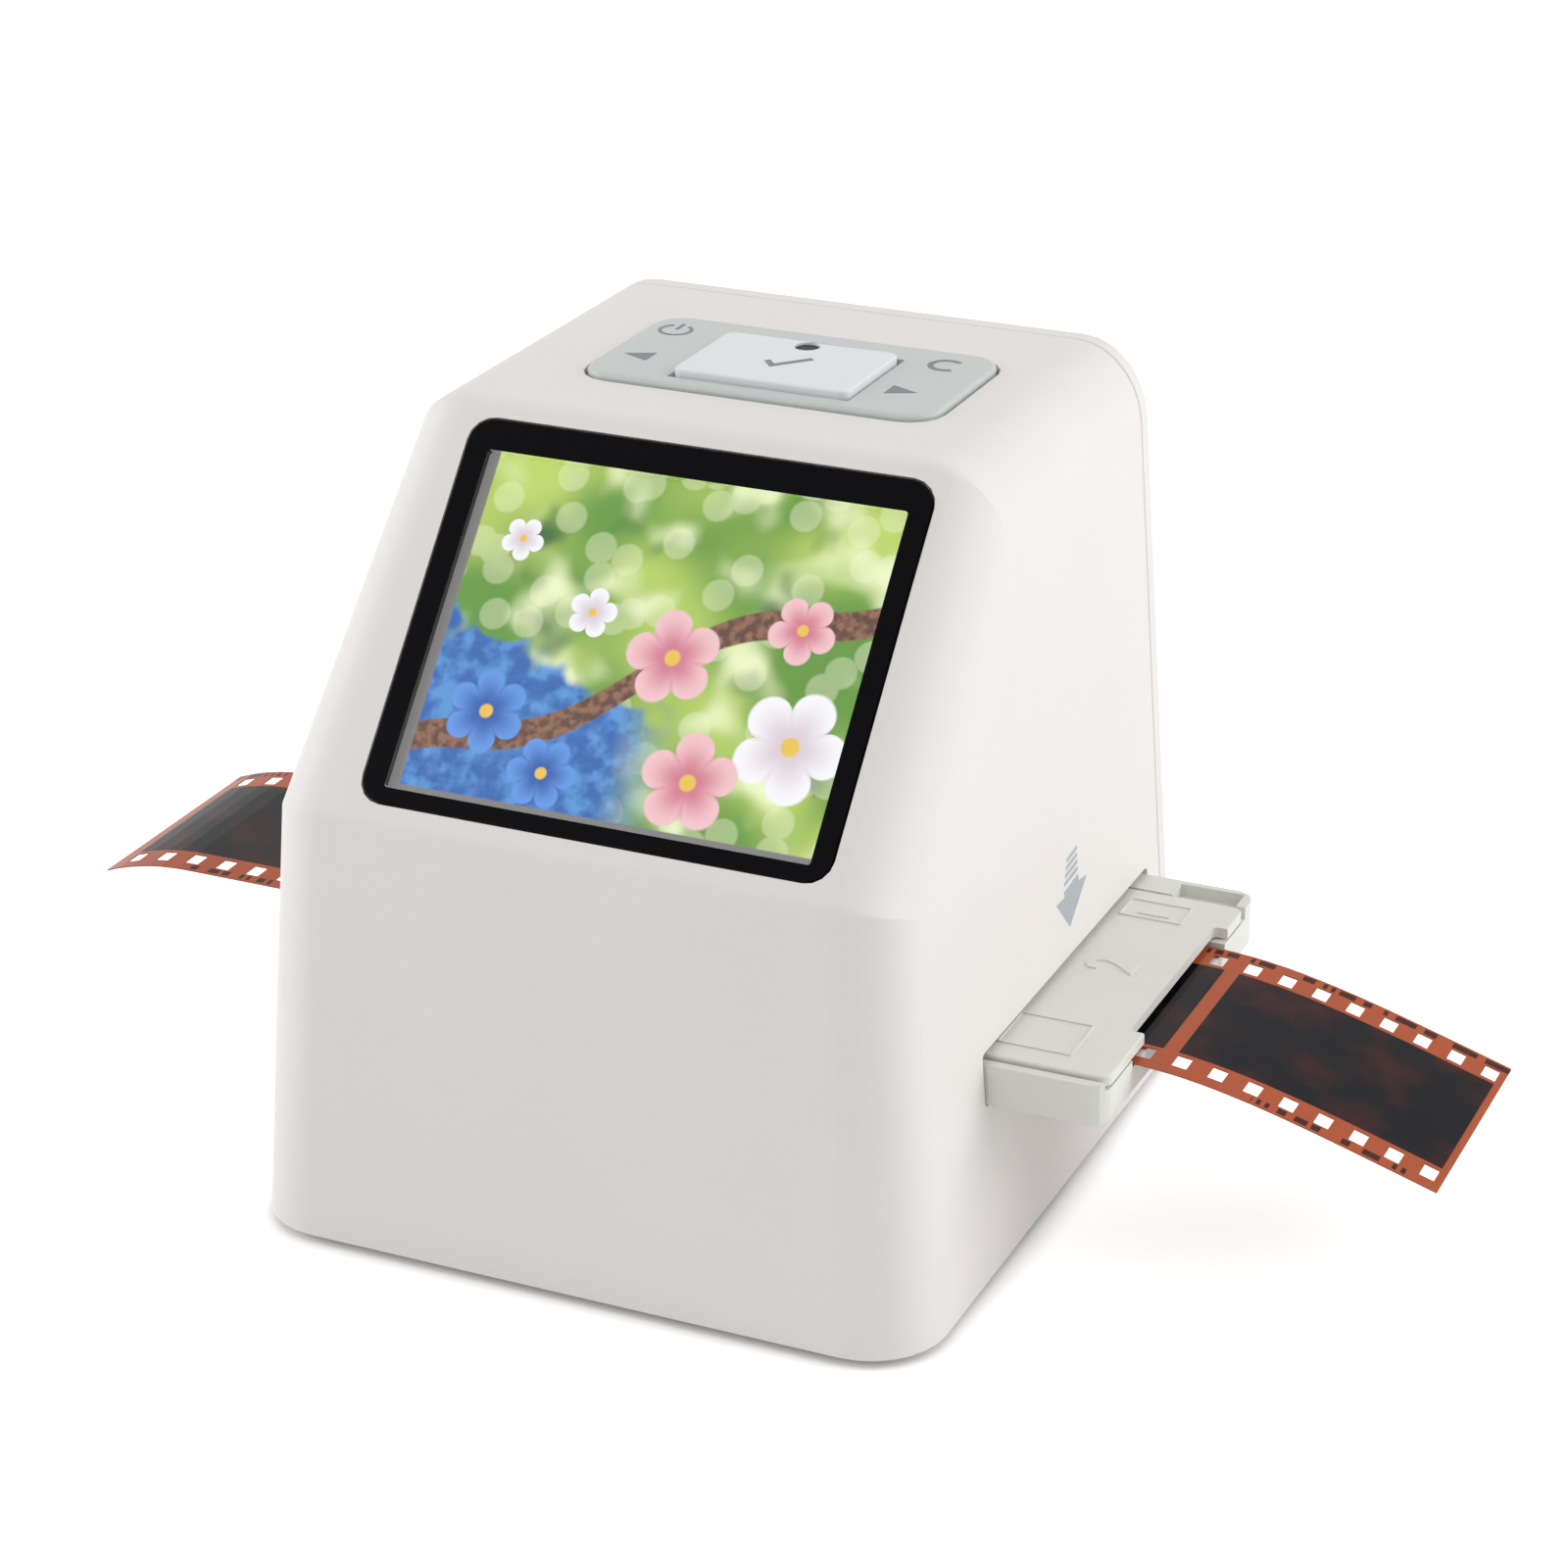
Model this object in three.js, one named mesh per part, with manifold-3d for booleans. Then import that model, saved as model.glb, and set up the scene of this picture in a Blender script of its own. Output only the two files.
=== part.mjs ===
// A desktop scanner for strips of 35 mm film negatives, in millimetres, +Z up.
// Origin: the centre of the underside of the base plate. X runs along the film, Y runs to the back.
import * as THREE from "three";
import { mergeVertices } from "three/addons/utils/BufferGeometryUtils.js";
import Module from "manifold-3d";

const wasm = await Module();
wasm.setup();

// Driving dimensions

// Housing
const bodyWidth = 88.9;
const leftReach = 4.6;
const bodyDepth = 93.6;
const bodyHeight = 101.6;
const creaseShare = 0.5758;
const creaseHeight = bodyHeight * creaseShare;
const topDepth = 55;
const frontLean = 1.75;
const sideLean = 7.3;
const edgeRadius = 10;
const creaseRadius = 3;
const browRadius = 3;
const wall = 2.2;
const rearCoverThickness = 2.5;
const basePlateThickness = 2.4;

// Gaps: one between pieces that seat on each other, a finer one under soldered pieces
const fitGap = 0.3;
const seatGap = 0.1;
const cutOver = 1;
const weld = 1e-4;

// Screen
const windowWidth = 62.3;
const windowDrop = 2.8;
const windowRise = 3;
const windowThickness = 1.2;
const windowRadius = 3;
const litWidth = 56.8;
const litMargins = 6.3;
const litSink = 1;
const panelBorder = 0.8;

// Keys
const padWidth = 48.5;
const padDepth = 26.4;
const padRadius = 4.4;
const padProud = 0.8;
const padSetback = 12.1;
const okWidthShare = 0.497;
const okWidth = padWidth * okWidthShare;
const okDepth = 17.3;
const okProud = 1.8;
const okSetback = 1.8;
const keyTravel = 0.8;
const padTravel = 0.6;

// Film and the tray that carries it
const filmWidth = 35;
const filmThickness = 0.15;
const filmPitch = 4.75;
const perforationWidth = 2.8;
const perforationLength = 1.98;
const perforationCount = 40;
const perforationRowGap = 28.17;
const filmRightEnd = 98.5;
const filmFirstPerforation = 96.46;
const filmLeftMargin = 3.2;
const filmRightDroop = 9.5;
const filmLift = 0.9;
const filmLiftLength = 16;
const filmCurlStart = 30.5;
const filmCurlRadius = 34;
const filmHeight = 27;
const filmSetback = 1.35;
const frameWidth = 36;
const frameHeight = 24;
const frameMargin = 1;
const trayLength = 108;
const trayCentreX = 4;
const trayWidthShare = 0.6314;
const trayWidth = bodyDepth * trayWidthShare;
const trayCentreShare = 0.0999;
const trayCentreY = bodyDepth * trayCentreShare;
const trayBottom = 23.2;
const trayHeight = 6.1;
const trayCoverThickness = 1.4;
const trayCornerRadius = 2.6;
const slotGap = 0.5;
const slotHeadroom = 0.9;

// Optics and electronics
const trackThickness = 1.8;
const gateThickness = 1.8;
const towerDrop = 23.8;
const barrelRadius = 7;
const boardThickness = 1.6;
const screwRadius = 1;
const screwHeadRadius = 2.1;
const screwHeadHeight = 1;
const footRadius = 5;
const footDrop = 1;

// Worked out from the sizes above
const frontY = -bodyDepth / 2;
const rearY = bodyDepth / 2;
const shellRearY = rearY - rearCoverThickness - fitGap;
const browY = rearY - topDepth;
const topZ = bodyHeight;
const slopeStart = new THREE.Vector2(frontY + frontLean, creaseHeight);
const slopeEnd = new THREE.Vector2(browY, topZ);
const windowHeight = slopeStart.distanceTo(slopeEnd) - windowRise - windowDrop;
const litHeight = windowHeight - litMargins;
const trayTop = trayBottom + trayHeight;
const filmY = trayCentreY - filmSetback;
const slotBottom = trayBottom - fitGap;
const slotTop = trayTop + slotHeadroom;
const trackTop = slotBottom;
const trackBottom = trackTop - trackThickness;
const gateBottom = trayTop + fitGap + seatGap;
const gateTop = gateBottom + gateThickness;
const towerBottom = gateTop + fitGap;
const towerTop = topZ - towerDrop;
const towerHeight = towerTop - towerBottom;
const keyCentreY = browY + padSetback + padDepth / 2;

// Facets of the round pieces
const roundSides = 20;
const smallSides = 10;
const screwSides = 8;
const cornerSteps = 4;
const edgeSteps = 7;

// Solids, and the joins and cuts between them

function solidOf(geometry) {
  const loose = geometry.index ? geometry.toNonIndexed() : geometry;
  const bare = new THREE.BufferGeometry();
  bare.setAttribute("position", loose.getAttribute("position").clone());
  const merged = mergeVertices(bare, weld);
  return new wasm.Manifold(
    new wasm.Mesh({
      numProp: 3,
      vertProperties: merged.attributes.position.array,
      triVerts: new Uint32Array(merged.index.array),
    }),
  );
}

function geometryOf(solid) {
  const mesh = solid.getMesh();
  const geometry = new THREE.BufferGeometry();
  geometry.setAttribute("position", new THREE.BufferAttribute(new Float32Array(mesh.vertProperties), 3));
  geometry.setIndex(new THREE.BufferAttribute(new Uint32Array(mesh.triVerts), 1));
  geometry.computeVertexNormals();
  return geometry;
}

function joined(first, ...others) {
  return others.reduce((whole, piece) => whole.add(piece), first);
}

function cut(first, ...others) {
  return others.reduce((whole, piece) => whole.subtract(piece), first);
}

// A box between two corners
function block([x0, y0, z0], [x1, y1, z1]) {
  const box = new THREE.BoxGeometry(x1 - x0, y1 - y0, z1 - z0);
  return solidOf(box.translate((x0 + x1) / 2, (y0 + y1) / 2, (z0 + z1) / 2));
}

// A box about a centre in plan, standing between two heights
function slab(width, depth, [x, y], z0, z1) {
  return block([x - width / 2, y - depth / 2, z0], [x + width / 2, y + depth / 2, z1]);
}

// The corner points of a rectangle with round corners, anticlockwise
function roundedRing(width, depth, radius) {
  const corners = [[1, -1], [1, 1], [-1, 1], [-1, -1]];
  return corners.flatMap(([sx, sy], k) =>
    Array.from({ length: cornerSteps + 1 }, (_, i) => {
      const angle = (Math.PI / 2) * (k - 1 + i / cornerSteps);
      const x = sx * (width / 2 - radius) + radius * Math.cos(angle);
      return new THREE.Vector2(x, sy * (depth / 2 - radius) + radius * Math.sin(angle));
    }),
  );
}

function roundedOutline(width, depth, radius) {
  return new THREE.Shape(roundedRing(width, depth, radius));
}

function extruded(outline, [x, y], z0, z1) {
  const options = { depth: z1 - z0, bevelEnabled: false, curveSegments: cornerSteps };
  return new THREE.ExtrudeGeometry(outline, options).translate(x, y, z0);
}

function roundedSlab(width, depth, radius, centre, z0, z1) {
  return solidOf(extruded(roundedOutline(width, depth, radius), centre, z0, z1));
}

// A cylinder standing along Z, Y or X from one end point
function rod(radius, [x, y, z], length, axis = "z", sides = smallSides) {
  const geometry = new THREE.CylinderGeometry(radius, radius, length, sides);
  geometry.translate(0, length / 2, 0);
  if (axis === "z") geometry.rotateX(Math.PI / 2);
  if (axis === "x") geometry.rotateZ(-Math.PI / 2);
  return solidOf(geometry.translate(x, y, z));
}

function turned(points, sides = roundSides) {
  const outline = points.map(([r, z]) => new THREE.Vector2(r, z));
  return new THREE.LatheGeometry(outline, sides).rotateX(Math.PI / 2);
}

function signedArea(ring) {
  return THREE.ShapeUtils.area(ring);
}

// A skin stretched over closed rings of equal count, capped at both ends. flat() gives a ring's plane outline.
function loft(rings, flat) {
  const count = rings[0].length;
  const points = rings.flat();
  const faces = [];
  for (let i = 0; i + 1 < rings.length; i++) {
    for (let j = 0; j < count; j++) {
      const [a, b] = [i * count + j, i * count + ((j + 1) % count)];
      faces.push([a, b, b + count], [a, b + count, a + count]);
    }
  }
  const last = (rings.length - 1) * count;
  for (const [start, ring, wanted] of [[0, rings[0], -1], [last, rings[rings.length - 1], 1]]) {
    const outline = ring.map(flat);
    const turn = Math.sign(signedArea(outline)) * wanted;
    for (const [a, b, c] of THREE.ShapeUtils.triangulateShape(outline, [])) {
      const same = Math.sign(signedArea([outline[a], outline[b], outline[c]])) === turn;
      faces.push(same ? [start + a, start + b, start + c] : [start + a, start + c, start + b]);
    }
  }
  const volume = faces.reduce((sum, [a, b, c]) => {
    return sum + points[a].dot(new THREE.Vector3().crossVectors(points[b], points[c]));
  }, 0);
  const geometry = new THREE.BufferGeometry().setFromPoints(points);
  geometry.setIndex(faces.flatMap(([a, b, c]) => (volume > 0 ? [a, b, c] : [a, c, b])));
  return geometry;
}

// Housing form: one outline in the YZ plane, drawn in towards the rounded side edges

function inward(direction) {
  return new THREE.Vector2(direction.y, -direction.x);
}

function meeting(p, d, q, e) {
  const along = new THREE.Vector2().subVectors(q, p).cross(e) / d.cross(e);
  return p.clone().addScaledVector(d, along);
}

function fillet(corner, before, after, radius) {
  const turn = Math.acos(THREE.MathUtils.clamp(before.dot(after), -1, 1));
  const start = corner.clone().addScaledVector(before, -radius * Math.tan(turn / 2));
  const centre = start.clone().addScaledVector(inward(before), radius);
  return Array.from({ length: cornerSteps + 1 }, (_, i) => {
    const heading = before.clone().rotateAround(new THREE.Vector2(), (-turn * i) / cornerSteps);
    return centre.clone().addScaledVector(inward(heading), -radius);
  });
}

function bodyOutline(inset, backY, floorZ) {
  const front = new THREE.Vector2(frontLean, creaseHeight).normalize();
  const slope = new THREE.Vector2().subVectors(slopeEnd, slopeStart).normalize();
  const top = new THREE.Vector2(1, 0);
  const onFront = slopeStart.clone().addScaledVector(inward(front), inset);
  const onSlope = slopeStart.clone().addScaledVector(inward(slope), inset);
  const onTop = slopeEnd.clone().addScaledVector(inward(top), inset);
  const crease = meeting(onFront, front, onSlope, slope);
  const brow = meeting(onSlope, slope, onTop, top);
  const toe = meeting(onFront, front, new THREE.Vector2(0, floorZ), top);
  const least = seatGap;
  return [
    new THREE.Vector2(backY, floorZ),
    toe,
    ...fillet(crease, front, slope, Math.max(creaseRadius - inset, least)),
    ...fillet(brow, slope, top, Math.max(browRadius - inset, least)),
    new THREE.Vector2(backY, onTop.y),
  ];
}

// The share of its bottom width that the housing keeps at a height
function narrowingShare(z) {
  return 1 - ((2 * sideLean) / bodyWidth) * (z / bodyHeight);
}

function halfWidthAt(z, shrink = 0) {
  return (bodyWidth / 2 - shrink) * narrowingShare(z);
}

// How far the left side stands further from the middle of the display than the right side does
function extraReach(side) {
  return side < 0 ? leftReach : 0;
}

function wallX(side, inset = 0) {
  return side * (bodyWidth / 2 - inset) - extraReach(side);
}

// The whole outer form moved inwards by shrink, with its back at backY and its underside at floorZ
function bodyForm(shrink, backY, floorZ) {
  const half = bodyWidth / 2 - shrink;
  const radius = Math.max(edgeRadius - shrink, fitGap);
  const stations = Array.from({ length: edgeSteps + 1 }, (_, i) => {
    const angle = ((Math.PI / 2) * i) / edgeSteps;
    return { x: half - radius + radius * Math.sin(angle), inset: shrink + radius * (1 - Math.cos(angle)) };
  });
  const across = [...stations.map(({ x, inset }) => ({ x: -x, inset })).reverse(), ...stations];
  const rings = across.map(({ x, inset }) => {
    const atHeight = (z) => x * narrowingShare(z) - extraReach(x);
    return bodyOutline(inset, backY, floorZ).map((p) => new THREE.Vector3(atHeight(p.y), p.x, p.y));
  });
  return solidOf(loft(rings, (p) => new THREE.Vector2(p.y, p.z)));
}

// Local frame of the screen: X across, Y up the slope from the crease, Z out of the glass
const slopeFrame = new THREE.Matrix4();
{
  const up = new THREE.Vector2().subVectors(slopeEnd, slopeStart).normalize();
  const x = new THREE.Vector3(1, 0, 0);
  const y = new THREE.Vector3(0, up.x, up.y);
  slopeFrame.makeBasis(x, y, new THREE.Vector3().crossVectors(x, y));
  slopeFrame.setPosition(0, slopeStart.x, slopeStart.y);
}
const windowCentre = [0, windowRise + windowHeight / 2];
const litCentre = [0, windowCentre[1] - litSink];
const panelWidth = litWidth + 2 * panelBorder;
const panelHeight = litHeight + 2 * panelBorder;
const screenRimDrop = 1.2;

function onSlope(geometry) {
  return solidOf(geometry.applyMatrix4(slopeFrame));
}

// Places shared by a screw and the pieces that it holds

const baseScrewInset = 6.9;
const baseScrewFrontShare = 0.22;
const baseScrewBackShare = 0.2;
const baseScrewPlaces = [
  ["base_screw_front_left", -1, frontY + bodyDepth * baseScrewFrontShare],
  ["base_screw_front_right", 1, frontY + bodyDepth * baseScrewFrontShare],
  ["base_screw_back_left", -1, rearY - bodyDepth * baseScrewBackShare],
  ["base_screw_back_right", 1, rearY - bodyDepth * baseScrewBackShare],
].map(([name, side, y]) => ({ name, x: wallX(side, baseScrewInset), y }));
const bossRadius = 3;
const mainBoardX = 26;
const mainBoardFrontY = -4;
const baseBossHeight = 15;
const baseScrewLength = 9;

const rearScrewDrop = 13.6;
const rearScrewHeight = topZ - rearScrewDrop;
const rearScrewInset = 6;
const rearScrewReach = halfWidthAt(rearScrewHeight, wall) - rearScrewInset;
const rearScrewX = (side) => side * rearScrewReach - extraReach(side);
const rearScrewLength = 11;
const rearLipLength = 3;
const rearLipThickness = 1.4;
const rearPostEnd = shellRearY - rearLipLength;
const rearBossLength = 10;

const railThickness = 2.6;
const railGap = 0.4;
const railFrontY = trayCentreY - trayWidth / 2 - railGap - railThickness / 2;
const railBackY = trayCentreY + trayWidth / 2 + railGap + railThickness / 2;
const trackLength = 2 * (halfWidthAt(gateTop, wall) - fitGap);
const trackScrewXShare = 0.3;
const trackScrewX = trackLength * trackScrewXShare;
const gateScrewXShare = 0.4;
const gateScrewX = trackLength * gateScrewXShare;
const postRadius = 2.6;
const screwGap = 0.25;

const keyBoardDrop = 8.1;
const keyBoardTop = topZ - keyBoardDrop;
const keyBoardMargin = 6.25;
const keyBoardWidth = padWidth + 2 * keyBoardMargin;
const keyBoardDepth = 29;
const keyScrewInset = 2.5;
const keyScrewX = keyBoardWidth / 2 - keyScrewInset;
const keyScrewLength = 5;
const keyBossRadius = 2.2;

// A screw with its head down, up, to the back or to a side, as turn says; its origin is under the head
function screw(length) {
  const shoulderShare = 0.6;
  const recess = screwHeadHeight / 2;
  const shoulder = screwHeadHeight * shoulderShare;
  const tip = screwRadius * shoulderShare;
  return turned(
    [
      [0, -length],
      [tip, -length],
      [screwRadius, tip - length],
      [screwRadius, 0],
      [screwHeadRadius, 0],
      [screwHeadRadius, shoulder],
      [screwHeadRadius - shoulder, screwHeadHeight],
      [screwRadius, screwHeadHeight],
      [0, recess],
    ],
    screwSides,
  );
}

// Housing pieces

function frontShell() {
  const shell = cut(bodyForm(0, shellRearY, 0), bodyForm(wall, shellRearY + cutOver, -cutOver));
  const skin = bodyForm(wall / 2, shellRearY, 0);
  const floor = basePlateThickness + fitGap;
  const ribThickness = 1.4;
  const additions = [];
  for (const { x, y } of baseScrewPlaces) {
    const side = Math.sign(x);
    additions.push(rod(bossRadius, [x, y, floor], baseBossHeight));
    const [near, far] = [x, wallX(side)].sort((a, b) => a - b);
    additions.push(
      block([near, y - ribThickness / 2, floor], [far, y + ribThickness / 2, floor + baseBossHeight]),
    );
  }
  for (const side of [-1, 1]) {
    const x = rearScrewX(side);
    const start = rearPostEnd - fitGap - rearBossLength;
    additions.push(rod(bossRadius, [x, start, rearScrewHeight], rearBossLength, "y"));
    const [near, far] = [x, wallX(side)].sort((a, b) => a - b);
    const [low, high] = [rearScrewHeight - ribThickness / 2, rearScrewHeight + ribThickness / 2];
    additions.push(block([near, start, low], [far, start + rearBossLength, high]));
    const keyX = side * keyScrewX;
    additions.push(rod(keyBossRadius, [keyX, keyCentreY, keyBoardTop + seatGap], topZ - keyBoardTop));
  }
  const rimMargin = 1.3;
  const rimDepth = wall + screenRimDrop;
  const rim = onSlope(
    extruded(
      roundedOutline(
        panelWidth + 2 * (fitGap + rimMargin),
        panelHeight + 2 * (fitGap + rimMargin),
        windowRadius,
      ),
      litCentre,
      -rimDepth,
      -wall / 2,
    ),
  );
  const bodies = joined(additions[0], ...additions.slice(1), rim).intersect(skin);
  const windowSeat = windowThickness + fitGap;
  const pocket = onSlope(
    extruded(
      roundedOutline(windowWidth + 2 * fitGap, windowHeight + 2 * fitGap, windowRadius + fitGap),
      windowCentre,
      -windowSeat,
      cutOver,
    ),
  );
  const opening = onSlope(
    extruded(
      roundedOutline(panelWidth + 2 * fitGap, panelHeight + 2 * fitGap, fitGap),
      litCentre,
      -rimDepth - cutOver,
      cutOver,
    ),
  );
  const padGap = 0.5;
  const padHole = roundedSlab(
    padWidth + 2 * padGap,
    padDepth + 2 * padGap,
    padRadius + padGap,
    [0, keyCentreY],
    topZ - wall - cutOver,
    topZ + cutOver,
  );
  const slotRadius = 0.8;
  const slotOutline = roundedOutline(slotTop - slotBottom, trayWidth + 2 * slotGap, slotRadius);
  const slot = extruded(slotOutline, [0, 0], -bodyWidth, bodyWidth).rotateY(Math.PI / 2);
  const slots = solidOf(slot.translate(0, trayCentreY, (slotTop + slotBottom) / 2));
  const holes = [
    ...baseScrewPlaces.map(({ x, y }) =>
      rod(screwRadius + screwGap, [x, y, 0], screwHeadHeight + baseScrewLength + fitGap),
    ),
  ];
  for (const side of [-1, 1]) {
    const bore = screwRadius + screwGap;
    holes.push(rod(bore, [rearScrewX(side), shellRearY - rearScrewLength, rearScrewHeight], bodyDepth, "y"));
    holes.push(rod(bore, [side * keyScrewX, keyCentreY, keyBoardTop - cutOver], keyScrewLength));
  }
  return cut(joined(shell, bodies), pocket, opening, padHole, slots, ...holes);
}

function rearCover() {
  const plate = bodyForm(0, rearY, 0).intersect(
    block([-bodyWidth, shellRearY + fitGap, -cutOver], [bodyWidth, rearY + cutOver, bodyHeight + cutOver]),
  );
  const lipShrink = wall + fitGap;
  const lipFloor = slotTop + bossRadius;
  const ring = cut(
    bodyForm(lipShrink, shellRearY + fitGap + cutOver, lipFloor),
    bodyForm(lipShrink + rearLipThickness, shellRearY + bodyDepth, 0),
  ).intersect(
    block([-bodyWidth, rearPostEnd, 0], [bodyWidth, shellRearY + fitGap + rearCoverThickness / 2, bodyHeight]),
  );
  const posts = [];
  const holes = [];
  for (const side of [-1, 1]) {
    const x = rearScrewX(side);
    const reach = shellRearY + fitGap + rearCoverThickness / 2 - rearPostEnd;
    posts.push(rod(bossRadius, [x, rearPostEnd, rearScrewHeight], reach, "y"));
    holes.push(rod(screwRadius + screwGap, [x, rearPostEnd - cutOver, rearScrewHeight], bodyDepth, "y"));
    const sink = screwHeadHeight + fitGap;
    holes.push(rod(screwHeadRadius + fitGap, [x, rearY - sink, rearScrewHeight], sink + cutOver, "y"));
  }
  const through = rearCoverThickness + 2 * cutOver;
  const from = shellRearY + fitGap - cutOver;
  for (const { x, z, width, height } of [sdMouth, usbMouth]) {
    const [w, h] = [width / 2 + fitGap, height / 2 + fitGap];
    holes.push(block([x - w, from, z - h], [x + w, from + through, z + h]));
  }
  holes.push(rod(avMouth.radius + fitGap, [avMouth.x, from, avMouth.z], through, "y", roundSides));
  return cut(joined(plate, ring, ...posts), ...holes);
}

const footInset = 9.5;
const footPlaces = [
  ["foot_front_left", -1, frontY + footInset + frontLean],
  ["foot_front_right", 1, frontY + footInset + frontLean],
  ["foot_back_left", -1, rearY - footInset],
  ["foot_back_right", 1, rearY - footInset],
].map(([name, side, y]) => ({ name, x: wallX(side, footInset + wall), y }));
const footRecess = 1;

const trackScrewPlaces = [
  ["track_screw_front_left", -trackScrewX, railFrontY],
  ["track_screw_back_right", trackScrewX, railBackY],
];

function basePlate() {
  const outline = bodyForm(wall + fitGap, shellRearY, 0);
  const plate = outline.intersect(
    block([-bodyWidth, -bodyDepth, 0], [bodyWidth, bodyDepth, basePlateThickness]),
  );
  const posts = [];
  for (const x of [-trackScrewX, trackScrewX]) {
    for (const y of [railFrontY, railBackY]) {
      const height = trackBottom - fitGap - basePlateThickness / 2;
      posts.push(rod(postRadius, [x, y, basePlateThickness / 2], height));
    }
  }
  const holes = [];
  const sink = screwHeadHeight + fitGap;
  const screwPlaces = [...baseScrewPlaces, ...trackScrewPlaces.map(([, x, y]) => ({ x, y }))];
  for (const { x, y } of screwPlaces) {
    holes.push(rod(screwRadius + screwGap, [x, y, -cutOver], trackBottom + cutOver));
    holes.push(rod(screwHeadRadius + fitGap, [x, y, -cutOver], cutOver + sink));
  }
  for (const { x, y } of footPlaces) {
    holes.push(rod(footRadius + fitGap, [x, y, -cutOver], cutOver + footRecess, "z", roundSides));
  }
  return cut(joined(plate, joined(posts[0], ...posts.slice(1)).intersect(outline)), ...holes);
}

function foot() {
  const top = footRecess - fitGap;
  const bevel = 0.4;
  return turned(
    [
      [0, -footDrop],
      [footRadius - bevel, -footDrop],
      [footRadius, bevel - footDrop],
      [footRadius, top],
      [0, top],
    ],
    roundSides,
  );
}

// Screen pieces, in the frame of the slope

function displayWindow() {
  return roundedSlab(windowWidth, windowHeight, windowRadius, windowCentre, -windowThickness, 0);
}

const panelThickness = 1.4;
const panelTop = -windowThickness - fitGap;
const backlightThickness = 1.6;
const screenBackTop = panelTop - panelThickness - fitGap;
const screenFrameTop = -wall - screenRimDrop - fitGap;
const screenFrameFloor = screenBackTop - backlightThickness - fitGap;
const screenFrameThickness = 1.4;
const screenFrameBack = screenFrameFloor - screenFrameThickness;
const screenFrameWall = 1.5;
const flexWidth = 10;
const flexHalf = flexWidth / 2;

function lcdPanel() {
  return slab(panelWidth, panelHeight, litCentre, panelTop - panelThickness, panelTop);
}

function lcdBacklight() {
  return slab(panelWidth, panelHeight, litCentre, screenBackTop - backlightThickness, screenBackTop);
}

const flexRise = 14;
const flexDrop = 3;
const flexLap = 2;
const flexBendShare = 3;
const flexX = mainBoardX - fitGap - flexHalf;
const flexThickness = 0.3;

function lcdFrame() {
  const [x, y] = litCentre;
  const width = panelWidth + 2 * (fitGap + screenFrameWall);
  const height = panelHeight + 2 * (fitGap + screenFrameWall);
  const body = slab(width, height, [x, y], screenFrameBack, screenFrameTop);
  const pocket = slab(
    panelWidth + 2 * fitGap,
    panelHeight + 2 * fitGap,
    [x, y],
    screenFrameFloor,
    screenFrameTop + cutOver,
  );
  const slotHigh = flexThickness + 4 * fitGap;
  const slotPlace = [flexX, flexRise];
  const [slotLow, slotTall] = [screenFrameBack - cutOver, screenFrameFloor + cutOver];
  const slot = slab(flexWidth + 2 * fitGap, slotHigh, slotPlace, slotLow, slotTall);
  return cut(body, pocket, slot);
}

// A ribbon from the back of the screen to the edge of the main board, in the housing's frame
function lcdFlex() {
  const start = new THREE.Vector3(0, flexRise, screenFrameFloor - fitGap).applyMatrix4(slopeFrame);
  const back = new THREE.Vector3(0, flexRise, screenFrameBack - fitGap).applyMatrix4(slopeFrame);
  const end = new THREE.Vector3(0, mainBoardFrontY + flexLap, back.z - flexDrop);
  const bend = back.clone().addScaledVector(new THREE.Vector3().subVectors(back, start), flexBendShare);
  const before = new THREE.Vector3(0, (bend.y + end.y) / 2, end.z);
  const path = new THREE.CatmullRomCurve3([start, back, bend, before, end]);
  const steps = 16;
  const rings = [];
  for (let i = 0; i <= steps; i++) {
    const p = path.getPoint(i / steps);
    const t = path.getTangent(i / steps);
    const across = new THREE.Vector2(-t.z, t.y).multiplyScalar(flexThickness / 2);
    const [near, far] = [flexX - flexHalf, flexX + flexHalf];
    rings.push([
      new THREE.Vector3(near, p.y - across.x, p.z - across.y),
      new THREE.Vector3(far, p.y - across.x, p.z - across.y),
      new THREE.Vector3(far, p.y + across.x, p.z + across.y),
      new THREE.Vector3(near, p.y + across.x, p.z + across.y),
    ]);
  }
  return solidOf(loft(rings, (p) => new THREE.Vector2(p.x, p.y + p.z)));
}

// Keys, about the centre of the pad in plan and at the housing's height

const padThickness = 1.1;
const padEdge = 0.7;
const padWall = 1.6;
const padFlange = 0.9;
const padFlangeThickness = 1;
const padFlangeGap = 1;
const okHoleGap = 0.45;
const okOffset = -okSetback;
const switchInsetX = 5.9;
const switchInsetY = 6.1;
const switchX = padWidth / 2 - switchInsetX;
const switchY = padDepth / 2 - switchInsetY;
const switchSize = 6;
const switchHeight = 3.5;
const switchPlunger = 0.8;
const switchPlungerRadius = 1.6;
const switchTop = keyBoardTop + seatGap + switchHeight + switchPlunger;
const okSwitchY = -3.6;
const ledY = 4.75;
const ledRadius = 1.25;
const ledHoleRadius = 1.7;
const ledSunk = 2.2;
const flexRingThickness = 1;
const flexRingLift = 3.9;
const flexRingBottom = keyBoardTop + flexRingLift;
const flexRingShare = 0.311;
const flexRingHalfX = padWidth * flexRingShare;
const flexRingGap = 0.3;
const flexRingHalfY = padDepth / 2 - padWall - flexRingGap;
const flexRingBand = 1.5;

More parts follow.
